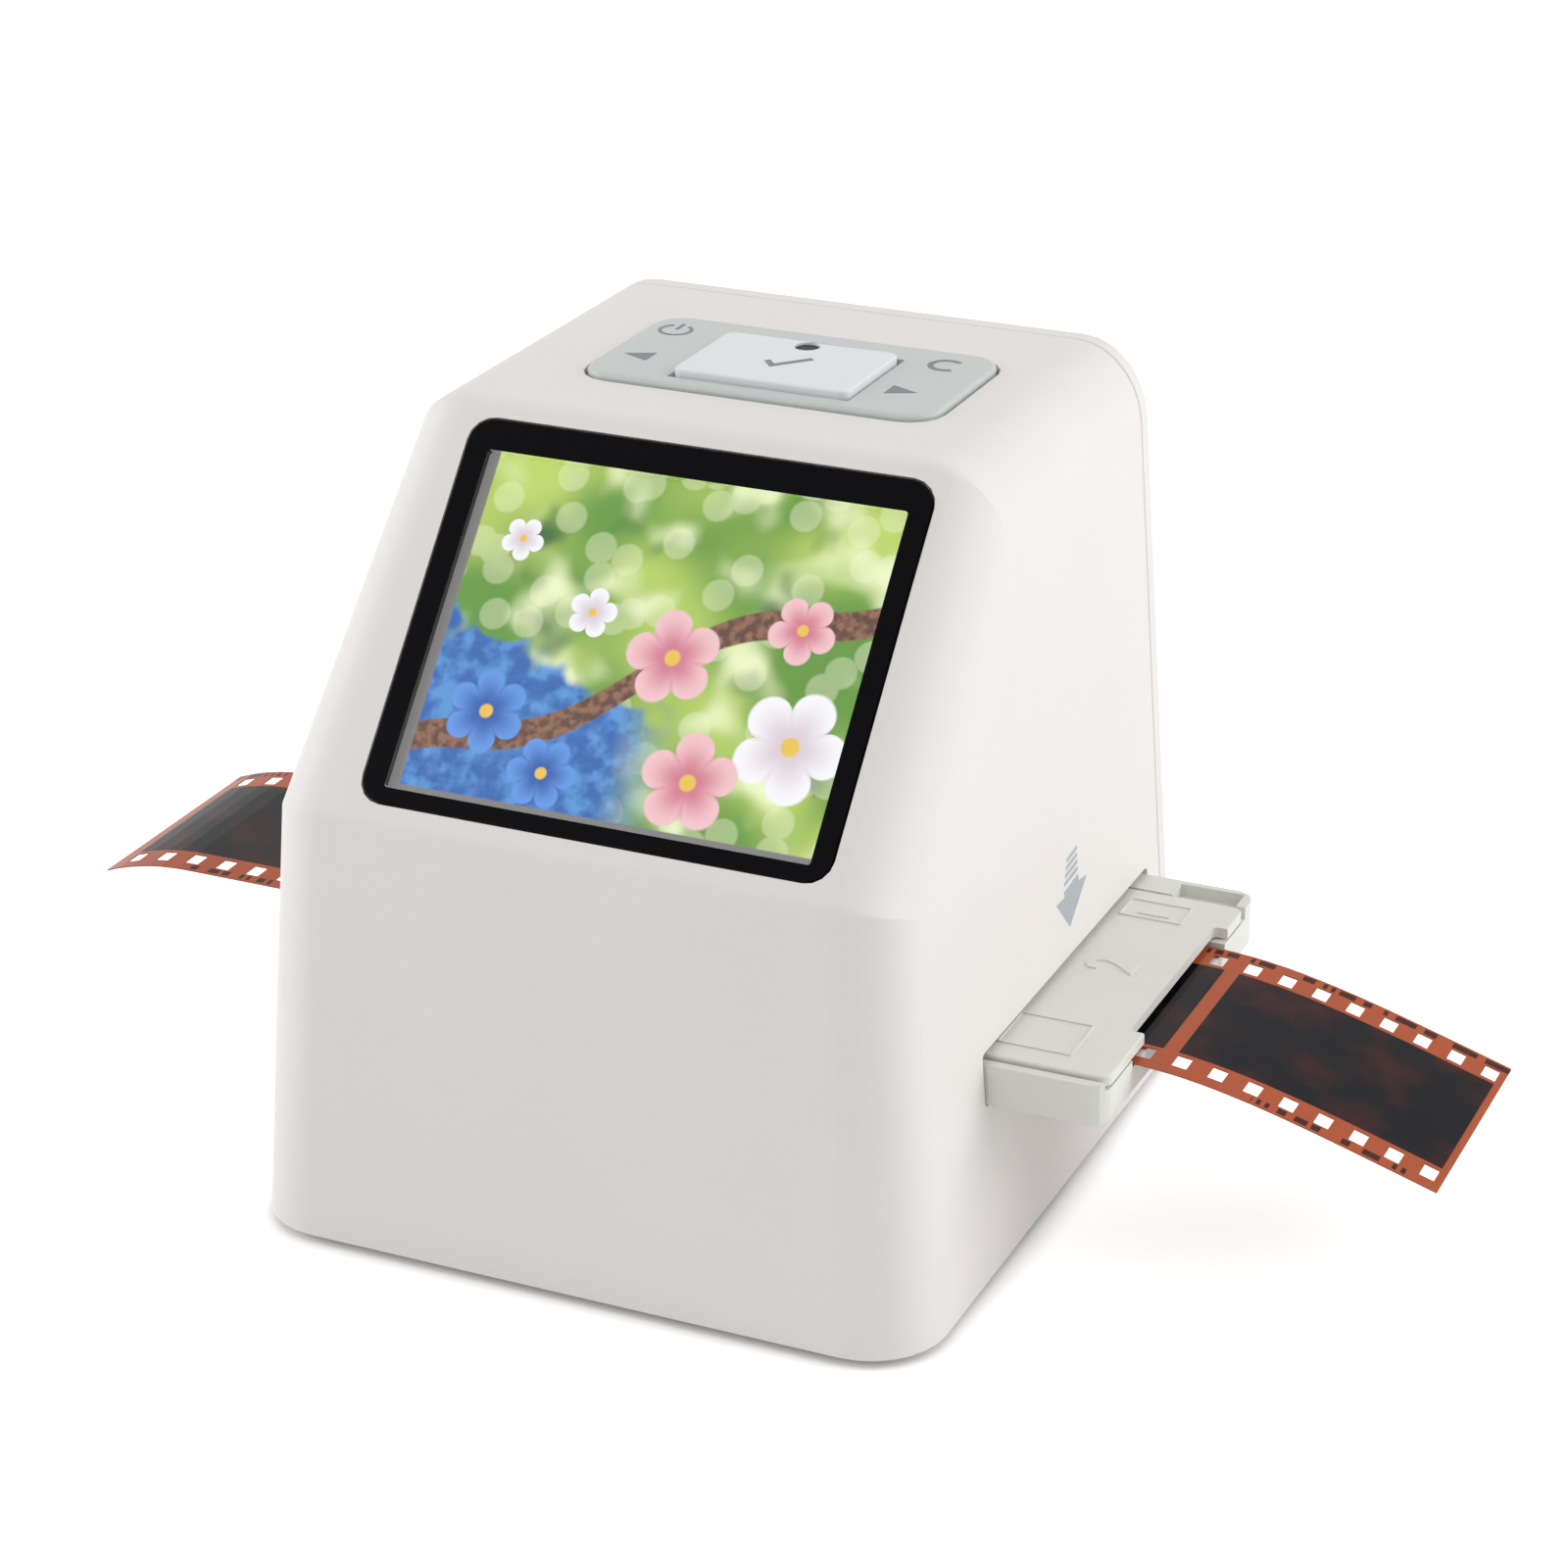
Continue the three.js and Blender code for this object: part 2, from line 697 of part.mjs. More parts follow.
// A plate with rounded corners whose upper edge is rounded off
function softPlate(width, depth, radius, edge, z0, z1) {
  const steps = 3;
  const rings = [];
  const ringAt = (inset, z) =>
    roundedRing(width - 2 * inset, depth - 2 * inset, Math.max(radius - inset, edge / 2)).map(
      (p) => new THREE.Vector3(p.x, p.y, z),
    );
  rings.push(ringAt(0, z0));
  for (let i = 0; i <= steps; i++) {
    const angle = ((Math.PI / 2) * i) / steps;
    rings.push(ringAt(edge * (1 - Math.cos(angle)), z1 - edge + edge * Math.sin(angle)));
  }
  return solidOf(loft(rings, (p) => new THREE.Vector2(p.x, p.y)));
}

function rockerPlate() {
  const top = topZ + padProud;
  const ceiling = top - padThickness;
  const flangeTop = topZ - wall - padFlangeGap;
  const bottom = flangeTop - padFlangeThickness;
  const body = joined(
    softPlate(padWidth, padDepth, padRadius, padEdge, bottom, top),
    roundedSlab(
      padWidth + 2 * padFlange,
      padDepth + 2 * padFlange,
      padRadius + padFlange,
      [0, 0],
      bottom,
      flangeTop,
    ),
  );
  const innerRadius = padRadius - padWall;
  const hollow = roundedSlab(
    padWidth - 2 * padWall,
    padDepth - 2 * padWall,
    innerRadius,
    [0, 0],
    bottom - cutOver,
    ceiling,
  );
  const [holeWidth, holeDepth] = [okWidth + 2 * okHoleGap, okDepth + 2 * okHoleGap];
  const okHole = slab(holeWidth, holeDepth, [0, okOffset], ceiling - cutOver, top + cutOver);
  const postBottom = switchTop + padTravel;
  const postRadiusHere = 1.4;
  const posts = [];
  for (const x of [-switchX, switchX]) {
    for (const y of [-switchY, switchY]) {
      posts.push(rod(postRadiusHere, [x, y, postBottom], ceiling + padThickness / 2 - postBottom));
    }
  }
  const ribWidth = 3;
  const ribThickness = 1;
  const ribBottom = flexRingBottom + flexRingThickness + fitGap;
  const ribY = padDepth / 2 - padWall;
  for (const side of [-1, 1]) {
    posts.push(slab(ribWidth, ribThickness, [0, side * ribY], ribBottom, ceiling + padThickness / 2));
  }
  return joined(cut(body, hollow, okHole), ...posts);
}

function flexRing() {
  const [x, y] = [2 * flexRingHalfX, 2 * flexRingHalfY];
  const top = flexRingBottom + flexRingThickness;
  return cut(
    slab(x, y, [0, 0], flexRingBottom, top),
    slab(x - 2 * flexRingBand, y - 2 * flexRingBand, [0, 0], flexRingBottom - cutOver, top + cutOver),
  );
}

function okButton() {
  const top = topZ + okProud;
  const capThickness = 1.5;
  const capWall = 1.4;
  const bottom = topZ - wall;
  const flangeTop = topZ + padProud - padThickness - keyTravel;
  const flangeThickness = 1.1;
  const flange = 0.5;
  const cap = softPlate(okWidth, okDepth, capWall, padEdge / 2, bottom, top);
  const ceiling = top - capThickness;
  const rim = slab(okWidth + 2 * flange, okDepth + 2 * flange, [0, 0], flangeTop - flangeThickness, flangeTop);
  const hollow = slab(okWidth - 2 * capWall, okDepth - 2 * capWall, [0, 0], bottom - cutOver, ceiling);
  const stemRadius = 1.8;
  const stemBottom = switchTop + keyTravel + seatGap;
  const stemY = okSwitchY - okOffset;
  const stem = rod(stemRadius, [0, stemY, stemBottom], ceiling + capThickness / 2 - stemBottom);
  const ledHole = rod(ledHoleRadius, [0, ledY - okOffset, bottom - cutOver], okDepth, "z", roundSides);
  return cut(joined(cut(joined(cap, rim), hollow), stem), ledHole);
}

function keyBoard() {
  const bottom = keyBoardTop - boardThickness;
  const plate = roundedSlab(keyBoardWidth, keyBoardDepth, keyBossRadius, [0, 0], bottom, keyBoardTop);
  const pivotRadius = 0.7;
  const pivotX = flexRingHalfX - flexRingBand / 2;
  const pivots = [-1, 1].map((side) => {
    const height = flexRingBottom - fitGap - keyBoardTop + boardThickness / 2;
    return rod(pivotRadius, [side * pivotX, 0, keyBoardTop - boardThickness / 2], height);
  });
  const holes = [-1, 1].map((side) =>
    rod(screwRadius + screwGap, [side * keyScrewX, 0, bottom - cutOver], boardThickness + 2 * cutOver),
  );
  return cut(joined(plate, ...pivots), ...holes);
}

function tactSwitch() {
  const bottom = keyBoardTop + seatGap;
  const body = slab(switchSize, switchSize, [0, 0], bottom, bottom + switchHeight);
  const middle = bottom + switchHeight / 2;
  return joined(body, rod(switchPlungerRadius, [0, 0, middle], switchTop - middle));
}

function statusLed() {
  const bottom = keyBoardTop + seatGap;
  const top = topZ + okProud - ledSunk;
  const points = [[0, bottom], [ledRadius, bottom], [ledRadius, top - ledRadius]];
  for (let i = 1; i <= cornerSteps; i++) {
    const angle = ((Math.PI / 2) * i) / cornerSteps;
    points.push([ledRadius * Math.cos(angle), top - ledRadius + ledRadius * Math.sin(angle)]);
  }
  points[points.length - 1][0] = 0;
  return turned(points, smallSides);
}

// The track under the tray, the gate over it, and the light below

const apertureWidth = frameWidth + 4 * frameMargin;
const apertureHeight = frameHeight + 4 * frameMargin;

const springLength = 16;
const springDepth = 1.3;
const springThickness = 0.3;
const springHeight = 3;

function trayTrack() {
  const railTop = gateBottom - fitGap;
  const halfX = trackLength / 2;
  const outerFront = railFrontY - railThickness / 2;
  const outerBack = railBackY + railThickness / 2;
  const floor = block([-halfX, outerFront, trackBottom], [halfX, outerBack, trackTop]);
  const rails = [railFrontY, railBackY].map((y) => {
    const [near, far] = [y - railThickness / 2, y + railThickness / 2];
    return block([-halfX, near, trackBottom], [halfX, far, railTop]);
  });
  const window = slab(apertureWidth, apertureHeight, [0, filmY], trackBottom - cutOver, trackTop + cutOver);
  const railFace = railFrontY + railThickness / 2;
  const springMid = (trackTop + railTop) / 2;
  const pocketHalf = springHeight / 2 + fitGap;
  const pocket = block(
    [-springLength / 2 - fitGap, railFace - springDepth - fitGap, springMid - pocketHalf],
    [springLength / 2 + fitGap, railFace + fitGap, springMid + pocketHalf],
  );
  const holes = [];
  for (const [, x, y] of trackScrewPlaces) {
    holes.push(rod(screwRadius + screwGap, [x, y, trackBottom - cutOver], railTop - trackBottom));
  }
  for (const [, x, y] of gateScrewPlaces) {
    const depth = gateScrewLength + fitGap;
    holes.push(rod(screwRadius + screwGap, [x, y, railTop - depth], depth + cutOver));
  }
  return cut(joined(floor, ...rails), window, pocket, ...holes);
}

const gateScrewLength = 5;
const gateScrewPlaces = [
  ["gate_screw_front_right", gateScrewX, railFrontY],
  ["gate_screw_back_left", -gateScrewX, railBackY],
];

// A bowed strip of spring steel in the front rail that holds the tray where it stops
function detentSpring() {
  const face = railFrontY + railThickness / 2;
  const bow = springDepth - springThickness - seatGap;
  const steps = 10;
  const front = [];
  const back = [];
  for (let i = 0; i <= steps; i++) {
    const share = i / steps;
    const x = springLength * (share - 1 / 2);
    const y = face - springDepth + bow * Math.sin(Math.PI * share);
    back.push(new THREE.Vector2(x, y));
    front.push(new THREE.Vector2(x, y + springThickness));
  }
  const outline = new THREE.Shape([...back, ...front.reverse()]);
  const middle = (trackTop + gateBottom - fitGap) / 2;
  return solidOf(extruded(outline, [0, 0], middle - springHeight / 2, middle + springHeight / 2));
}

const towerFlangeX = 28;
const towerFlangeY = 19;
const towerScrewX = 25;
const towerFlangeThickness = 2;
const towerScrewLength = 3.2;

function filmGate() {
  const halfX = trackLength / 2;
  const [front, back] = [railFrontY - railThickness / 2, railBackY + railThickness / 2];
  const plate = block([-halfX, front, gateBottom], [halfX, back, gateTop]);
  const window = slab(apertureWidth, apertureHeight, [0, filmY], gateBottom - cutOver, gateTop + cutOver);
  const holes = gateScrewPlaces.map(([, x, y]) =>
    rod(screwRadius + screwGap, [x, y, gateBottom - cutOver], gateThickness + 2 * cutOver),
  );
  for (const side of [-1, 1]) {
    const start = [side * towerScrewX, filmY, gateBottom - cutOver];
    holes.push(rod(screwRadius + screwGap, start, gateThickness + 2 * cutOver));
  }
  return cut(plate, window, ...holes);
}

const lampWall = 1.6;
const lampMargin = 4;
const lampWidth = apertureWidth + 2 * lampMargin;
const lampDepth = apertureHeight + 2 * lampMargin;
const lampBottom = basePlateThickness + fitGap;
const lampTop = trackBottom - fitGap;
const lampFloor = 1.6;

function backlightHousing() {
  const body = roundedSlab(lampWidth, lampDepth, lampWall, [0, 0], lampBottom, lampTop);
  const [innerWidth, innerDepth] = [lampWidth - 2 * lampWall, lampDepth - 2 * lampWall];
  const hollow = slab(innerWidth, innerDepth, [0, 0], lampBottom + lampFloor, lampTop + cutOver);
  const notchDepth = 3;
  const notchWidth = 6;
  const notch = slab(notchWidth, lampWall * 3, [0, lampDepth / 2], lampTop - notchDepth, lampTop + cutOver);
  return cut(body, hollow, notch);
}

function ledBoard() {
  const bottom = lampBottom + lampFloor + seatGap;
  const top = bottom + boardThickness;
  const width = lampWidth - 2 * (lampWall + fitGap);
  const depth = lampDepth - 2 * (lampWall + fitGap);
  const ledSize = 3;
  const ledHeight = 1.4;
  const [columns, rows] = [3, 2];
  const leds = [];
  for (let i = 0; i < columns; i++) {
    for (let j = 0; j < rows; j++) {
      const x = (width / columns) * (i + 1 / 2 - columns / 2);
      const y = (depth / rows) * (j + 1 / 2 - rows / 2);
      leds.push(slab(ledSize, ledSize, [x, y], top - boardThickness / 2, top + ledHeight));
    }
  }
  return joined(slab(width, depth, [0, 0], bottom, top), ...leds);
}

function diffuserPlate() {
  const gap = 2 * fitGap;
  return slab(apertureWidth - gap, apertureHeight - gap, [0, 0], lampTop + fitGap, trackTop - seatGap);
}

// The camera over the gate: a dark tower with the lens and the image sensor, about the film's middle

const towerLowerX = 22;
const towerLowerY = 17;
const towerUpper = 14;
const towerWall = 1.6;
const towerStepShare = 0.3;
const towerShoulderShare = 0.52;
const shelfThickness = 3;
const shelfBottom = towerBottom + towerHeight * towerShoulderShare;
const shelfTop = shelfBottom + shelfThickness;
const lugSize = 5;
const lugShares = [0.66, 0.9];
const lugHeights = lugShares.map((share) => towerBottom + towerHeight * share);
const boardScrewLength = 6;

function towerRings(shrink, z0, z1) {
  const [lowX, lowY, up] = [towerLowerX - shrink, towerLowerY - shrink, towerUpper - shrink];
  const bends = [
    [lowX, lowY, z0],
    [lowX, lowY, towerBottom + towerHeight * towerStepShare],
    [up, up, shelfBottom],
    [up, up, z1],
  ];
  const rings = bends.map(([x, y, z]) => [
    new THREE.Vector3(-x, -y, z),
    new THREE.Vector3(x, -y, z),
    new THREE.Vector3(x, y, z),
    new THREE.Vector3(-x, y, z),
  ]);
  return solidOf(loft(rings, (p) => new THREE.Vector2(p.x, p.y)));
}

function cameraTower() {
  const flange = slab(
    2 * towerFlangeX,
    2 * towerFlangeY,
    [0, 0],
    towerBottom,
    towerBottom + towerFlangeThickness,
  );
  const lugs = lugHeights.map((z) =>
    block([0, -lugSize / 2, z - lugSize / 2], [mainBoardX - fitGap, lugSize / 2, z + lugSize / 2]),
  );
  const outer = joined(flange, towerRings(0, towerBottom, towerTop), ...lugs);
  const hollow = towerRings(towerWall, towerBottom - cutOver, towerTop + cutOver);
  const shelf = slab(2 * towerUpper - towerWall, 2 * towerUpper - towerWall, [0, 0], shelfBottom, shelfTop);
  const boreStart = [0, 0, shelfBottom - cutOver];
  const bore = rod(barrelRadius + fitGap, boreStart, shelfThickness + 2 * cutOver, "z", roundSides);
  const holes = [-1, 1].map((side) =>
    rod(
      screwRadius + screwGap,
      [side * towerScrewX, 0, towerBottom - cutOver],
      towerFlangeThickness + 2 * cutOver,
    ),
  );
  for (const z of lugHeights) {
    const depth = boardScrewLength + fitGap;
    holes.push(rod(screwRadius + screwGap, [mainBoardX - depth, 0, z], depth + cutOver, "x"));
  }
  return cut(joined(cut(outer, hollow), cut(shelf, bore)), ...holes);
}

const barrelBelow = 8;
const sensorGap = 8.1;
const barrelFlange = 1.6;
const barrelFlangeThickness = 1.5;
const frontLensRadius = 5.2;
const rearLensRadius = 4.6;
const lensRim = 2;
const stopRadius = 2.8;
const frontBoreDepth = 5.5;
const rearBoreDepth = 5.5;
const barrelBottom = shelfBottom - barrelBelow;
const barrelTop = towerTop - sensorGap;

function lensBarrel() {
  const flangeBottom = shelfTop + fitGap;
  const flangeTop = flangeBottom + barrelFlangeThickness;
  const lip = 0.6;
  const frontBore = frontLensRadius + fitGap;
  const rearBore = rearLensRadius + fitGap;
  return turned([
    [stopRadius, barrelTop - rearBoreDepth],
    [rearBore, barrelTop - rearBoreDepth],
    [rearBore, barrelTop],
    [barrelRadius - lip, barrelTop],
    [barrelRadius, barrelTop - lip],
    [barrelRadius, flangeTop],
    [barrelRadius + barrelFlange, flangeTop],
    [barrelRadius + barrelFlange, flangeBottom],
    [barrelRadius, flangeBottom],
    [barrelRadius, barrelBottom + lip],
    [barrelRadius - lip, barrelBottom],
    [frontBore, barrelBottom],
    [frontBore, barrelBottom + frontBoreDepth],
    [stopRadius, barrelBottom + frontBoreDepth],
    [stopRadius, barrelTop - rearBoreDepth],
  ].reverse());
}

// A lens with two bulging faces and a straight rim
function lens(radius, rim, bulge, middle) {
  const points = [];
  for (let i = 0; i <= cornerSteps; i++) {
    const share = i / cornerSteps;
    points.push([radius * share, middle - rim / 2 - bulge * (1 - share * share)]);
  }
  for (let i = cornerSteps; i >= 0; i--) {
    const share = i / cornerSteps;
    points.push([radius * share, middle + rim / 2 + bulge * (1 - share * share)]);
  }
  return turned(points);
}

const lensBulge = 0.7;

function irFilter() {
  const thickness = 0.7;
  const bottom = barrelTop - thickness - seatGap;
  const top = bottom + thickness;
  return turned([[0, bottom], [rearLensRadius, bottom], [rearLensRadius, top], [0, top]]);
}

function sensorBoard() {
  const bottom = towerTop + fitGap;
  return slab(2 * towerUpper, 2 * towerUpper, [0, 0], bottom, bottom + boardThickness);
}

function imageSensor() {
  const [width, depth, thickness] = [12, 10, 1.4];
  const top = towerTop + fitGap - seatGap;
  return slab(width, depth, [0, 0], top - thickness, top);
}

// Main board, standing lengthwise beside the tower, and the sockets on its back edge

const socketX = mainBoardX + boardThickness + seatGap;
const mainBoardBottom = 36.5;
const mainBoardTop = rearScrewHeight - bossRadius - fitGap;
const mainBoardHeight = mainBoardTop - mainBoardBottom;
const boardShares = {
  sd: 0.539,
  sdMiddle: 0.55,
  usb: 0.162,
  usbMiddle: 0.114,
  avMiddle: 0.915,
  chip: 0.228,
};
const sdThickness = 3;
const sdHeight = mainBoardHeight * boardShares.sd;
const sdLengthShare = 0.587;
const sdLength = (shellRearY - fitGap - mainBoardFrontY) * sdLengthShare;
const sdSlotThickness = 2.3;
const sdRim = 0.9;
const sdMiddleZ = mainBoardBottom + mainBoardHeight * boardShares.sdMiddle;
const usbThickness = 4.2;
const usbHeight = mainBoardHeight * boardShares.usb;
const usbLength = 9;
const usbMiddleZ = mainBoardBottom + mainBoardHeight * boardShares.usbMiddle;
const avSize = 5.6;
const avLength = 10;
const avRadius = 2.4;
const avBore = 1.75;
const avMiddleZ = mainBoardBottom + mainBoardHeight * boardShares.avMiddle;
const sdMouth = { x: socketX + sdThickness / 2, z: sdMiddleZ, width: sdThickness, height: sdHeight };
const usbMouth = { x: socketX + usbThickness / 2, z: usbMiddleZ, width: usbThickness, height: usbHeight };
const avMouth = { x: socketX + avSize / 2, z: avMiddleZ, radius: avRadius };

function mainBoard() {
  const edge = shellRearY - fitGap;
  const plate = block(
    [mainBoardX, mainBoardFrontY, mainBoardBottom],
    [mainBoardX + boardThickness, edge, mainBoardTop],
  );
  const chipSize = mainBoardHeight * boardShares.chip;
  const chipHeight = 1.5;
  const chipY = mainBoardFrontY + chipHeight + chipSize / 2;
  const chip = block(
    [mainBoardX + boardThickness / 2, chipY - chipSize / 2, usbMiddleZ + chipSize / 2],
    [mainBoardX + boardThickness + chipHeight, chipY + chipSize / 2, usbMiddleZ + chipSize / 2 + chipSize],
  );
  const holes = lugHeights.map((z) =>
    rod(screwRadius + screwGap, [mainBoardX - cutOver, filmY, z], boardThickness + 2 * cutOver, "x"),
  );
  return cut(joined(plate, chip), ...holes);
}

const socketEnd = shellRearY;
const socketWall = 1.6;
const usbDepthShare = 0.7;

function sdSocket() {
  const [low, high] = [sdMiddleZ - sdHeight / 2, sdMiddleZ + sdHeight / 2];
  const body = block([socketX, socketEnd - sdLength, low], [socketX + sdThickness, socketEnd, high]);
  const middle = socketX + sdThickness / 2;
  const [w, h] = [sdSlotThickness / 2, sdHeight / 2 - sdRim];
  const depth = sdLength - 2 * socketWall;
  return cut(
    body,
    block([middle - w, socketEnd - depth, sdMiddleZ - h], [middle + w, socketEnd + cutOver, sdMiddleZ + h]),
  );
}

function usbSocket() {
  const rim = 0.5;
  const [low, high] = [usbMiddleZ - usbHeight / 2, usbMiddleZ + usbHeight / 2];
  const body = block([socketX, socketEnd - usbLength, low], [socketX + usbThickness, socketEnd, high]);
  const depth = usbLength * usbDepthShare;
  const mouth = block(
    [socketX + rim, socketEnd - depth, low + rim],
    [socketX + usbThickness - rim, socketEnd + cutOver, high - rim],
  );
  const middle = socketX + usbThickness / 2;
  const tongue = block(
    [middle - rim, socketEnd - depth - rim, low + 3 * rim],
    [middle + rim, socketEnd - 2 * rim, high - 3 * rim],
  );
  return joined(cut(body, mouth), tongue);
}

function avJack() {
  const half = avSize / 2;
  const [x, z] = [socketX + half, avMiddleZ];
  const collar = 2;
  const start = socketEnd - avLength;
  const body = block([socketX, start, z - half], [socketX + avSize, socketEnd - collar, z + half]);
  const nose = rod(avRadius, [x, socketEnd - avLength / 2, z], avLength / 2, "y", roundSides);
  const bore = rod(avBore, [x, socketEnd - avLength + socketWall, z], avLength, "y", roundSides);
  return cut(joined(body, nose), bore);
}

// The tray: a base with a channel for the film, and a cover hinged to it along the back

const trayCoverFrontGap = 1.7;
const trayCoverBackGap = 5;
const trayLedgeDrop = 0.6;
const trayFrontY = trayCentreY - trayWidth / 2;
const trayBackY = trayCentreY + trayWidth / 2;
const coverTop = trayTop;
const coverBottom = coverTop - trayCoverThickness;
const deckTop = coverBottom - fitGap;
const channelFloor = filmHeight - filmThickness / 2 - fitGap;
const channelGap = 0.4;
const notchDepth = 2;
const notchFrontReach = 13.5;
const notchBackReach = 19;
const hingeInset = 2.7;
const hingeLift = 0.1;
const notchFrontY = filmY - notchFrontReach;
const notchBackY = filmY + notchBackReach;
const hingeY = trayBackY - hingeInset;
const hingeZ = coverBottom + hingeLift;
const hingePinRadius = 0.5;
const hingeBore = hingePinRadius + fitGap;
const hingeLengthShare = 0.8;
const hingeLength = trayLength * hingeLengthShare;
const knuckleWidth = 8;
const knuckleRadius = 1.25;
const knuckleShares = [-0.37, 0, 0.37];
const knuckleOffsets = knuckleShares.map((share) => hingeLength * share);
const knuckleWebShare = 0.7;
const grooveReach = 1.7;
const coverEdge = 0.3;

function holderBase() {
  const centre = [trayCentreX, trayCentreY];
  const body = roundedSlab(trayLength, trayWidth, trayCornerRadius, centre, trayBottom, trayTop);
  const coverFront = trayFrontY + trayCoverFrontGap - fitGap;
  const coverBack = trayBackY - trayCoverBackGap + fitGap;
  const ledge = block(
    [-trayLength, trayFrontY - cutOver, trayTop - trayLedgeDrop],
    [trayLength, coverBack, trayTop + cutOver],
  );
  const recess = block([-trayLength, coverFront, deckTop], [trayLength, coverBack, trayTop + cutOver]);
  const channelHalf = filmWidth / 2 + channelGap;
  const channel = block(
    [-trayLength, filmY - channelHalf, channelFloor],
    [trayLength, filmY + channelHalf, deckTop + cutOver],
  );
  const window = slab(
    frameWidth + 2 * frameMargin,
    frameHeight + 2 * frameMargin,
    [0, filmY],
    trayBottom - cutOver,
    trayTop,
  );
  const knucklePlaces = knuckleOffsets.map((x) => trayCentreX + x);
  const knuckles = knucklePlaces.map((x) =>
    slab(
      knuckleWidth + 4 * fitGap,
      2 * (knuckleRadius + fitGap),
      [x, hingeY],
      hingeZ - knuckleRadius - fitGap,
      trayTop + cutOver,
    ),
  );
  const doors = knucklePlaces.map((x) =>
    block(
      [x - knuckleWidth / 2 - 2 * fitGap, coverBack - cutOver, hingeZ - knuckleRadius - fitGap],
      [x + knuckleWidth / 2 + 2 * fitGap, hingeY, trayTop + cutOver],
    ),
  );
  const boreStart = [trayCentreX - hingeLength / 2 - fitGap, hingeY, hingeZ];
  const bore = rod(hingeBore, boreStart, hingeLength + 2 * fitGap, "x");
  const grooves = [-1, 1].map((side) => {
    const inner = trayCentreX + side * (hingeLength / 2 + 2 * fitGap);
    const outer = trayCentreX + side * (trayLength - trayCornerRadius) / 2;
    const [x0, x1] = [inner, outer].sort((a, b) => a - b);
    return block(
      [x0, coverBack - cutOver, deckTop],
      [x1, hingeY + grooveReach, trayTop + cutOver],
    );
  });
  return cut(body, ledge, recess, channel, window, ...knuckles, ...doors, bore, ...grooves);
}

function holderCover() {
  const [front, back] = [trayFrontY + trayCoverFrontGap, trayBackY - trayCoverBackGap];
  const cornerRound = 1.5;
  const [width, depth, edge] = [trayLength - seatGap, back - front, coverEdge];
  const plate = softPlate(width, depth, cornerRound, edge, coverBottom, coverTop);
  const middle = (front + back) / 2;
  const notchMiddle = (notchFrontY + notchBackY) / 2 - middle;
  const notches = [-1, 1].map((side) =>
    roundedSlab(
      2 * notchDepth,
      notchBackY - notchFrontY,
      cornerRound / 2,
      [(side * trayLength) / 2, notchMiddle],
      coverBottom - cutOver,
      coverTop + cutOver,
    ),
  );
  const window = slab(
    frameWidth + frameMargin,
    frameHeight + frameMargin,
    [-trayCentreX, filmY - middle],
    coverBottom - cutOver,
    coverTop + cutOver,
  );
  const knuckles = knuckleOffsets.flatMap((x) => [
    rod(knuckleRadius, [x - knuckleWidth / 2, hingeY - middle, hingeZ], knuckleWidth, "x"),
    block(
      [x - knuckleWidth / 2, back - middle - cutOver, coverBottom],
      [x + knuckleWidth / 2, hingeY - middle, coverBottom + trayCoverThickness * knuckleWebShare],
    ),
  ]);
  const bore = rod(hingeBore, [-hingeLength, hingeY - middle, hingeZ], 2 * hingeLength, "x");
  return cut(joined(plate, ...knuckles), ...notches, window, bore);
}
const coverMiddleY = (trayFrontY + trayCoverFrontGap + trayBackY - trayCoverBackGap) / 2;

// The strip of film: flat in the tray. Past the right end it sags, past the left end it lifts and curls down

const filmStart = filmFirstPerforation - filmPitch * (perforationCount - 1) - filmLeftMargin;
const filmHoldInset = 1.5;
const filmRightHold = trayLength / 2 + trayCentreX - filmHoldInset;
const filmLeftHold = trayLength / 2 - trayCentreX - filmHoldInset;

function sagAngle(d) {
  const length = filmRightEnd - filmRightHold;
  const bend = (4 * filmRightDroop) / length ** 2;
  return bend * (d - d ** 2 / length + d ** 3 / (3 * length ** 2));
}

function curlAngle(d) {
  const rise = Math.min(d / filmLiftLength, 1);
  const lift = ((6 * filmLift) / filmLiftLength) * rise * (1 - rise);
  return Math.max(d - filmCurlStart, 0) / filmCurlRadius - lift;
}

function bentPlace(s) {
  const side = Math.sign(s);
  const hold = side > 0 ? filmRightHold : filmLeftHold;
  const free = Math.abs(s) - hold;
  if (free <= 0) return { x: s, z: filmHeight, slope: 0 };
  const angleAt = side > 0 ? sagAngle : curlAngle;
  const steps = 24;
  let [x, z] = [hold, filmHeight];
  for (let i = 0; i < steps; i++) {
    const angle = angleAt((free * (i + 1 / 2)) / steps);
    x += (Math.cos(angle) * free) / steps;
    z -= (Math.sin(angle) * free) / steps;
  }
  return { x: side * x, z, slope: -side * angleAt(free) };
}

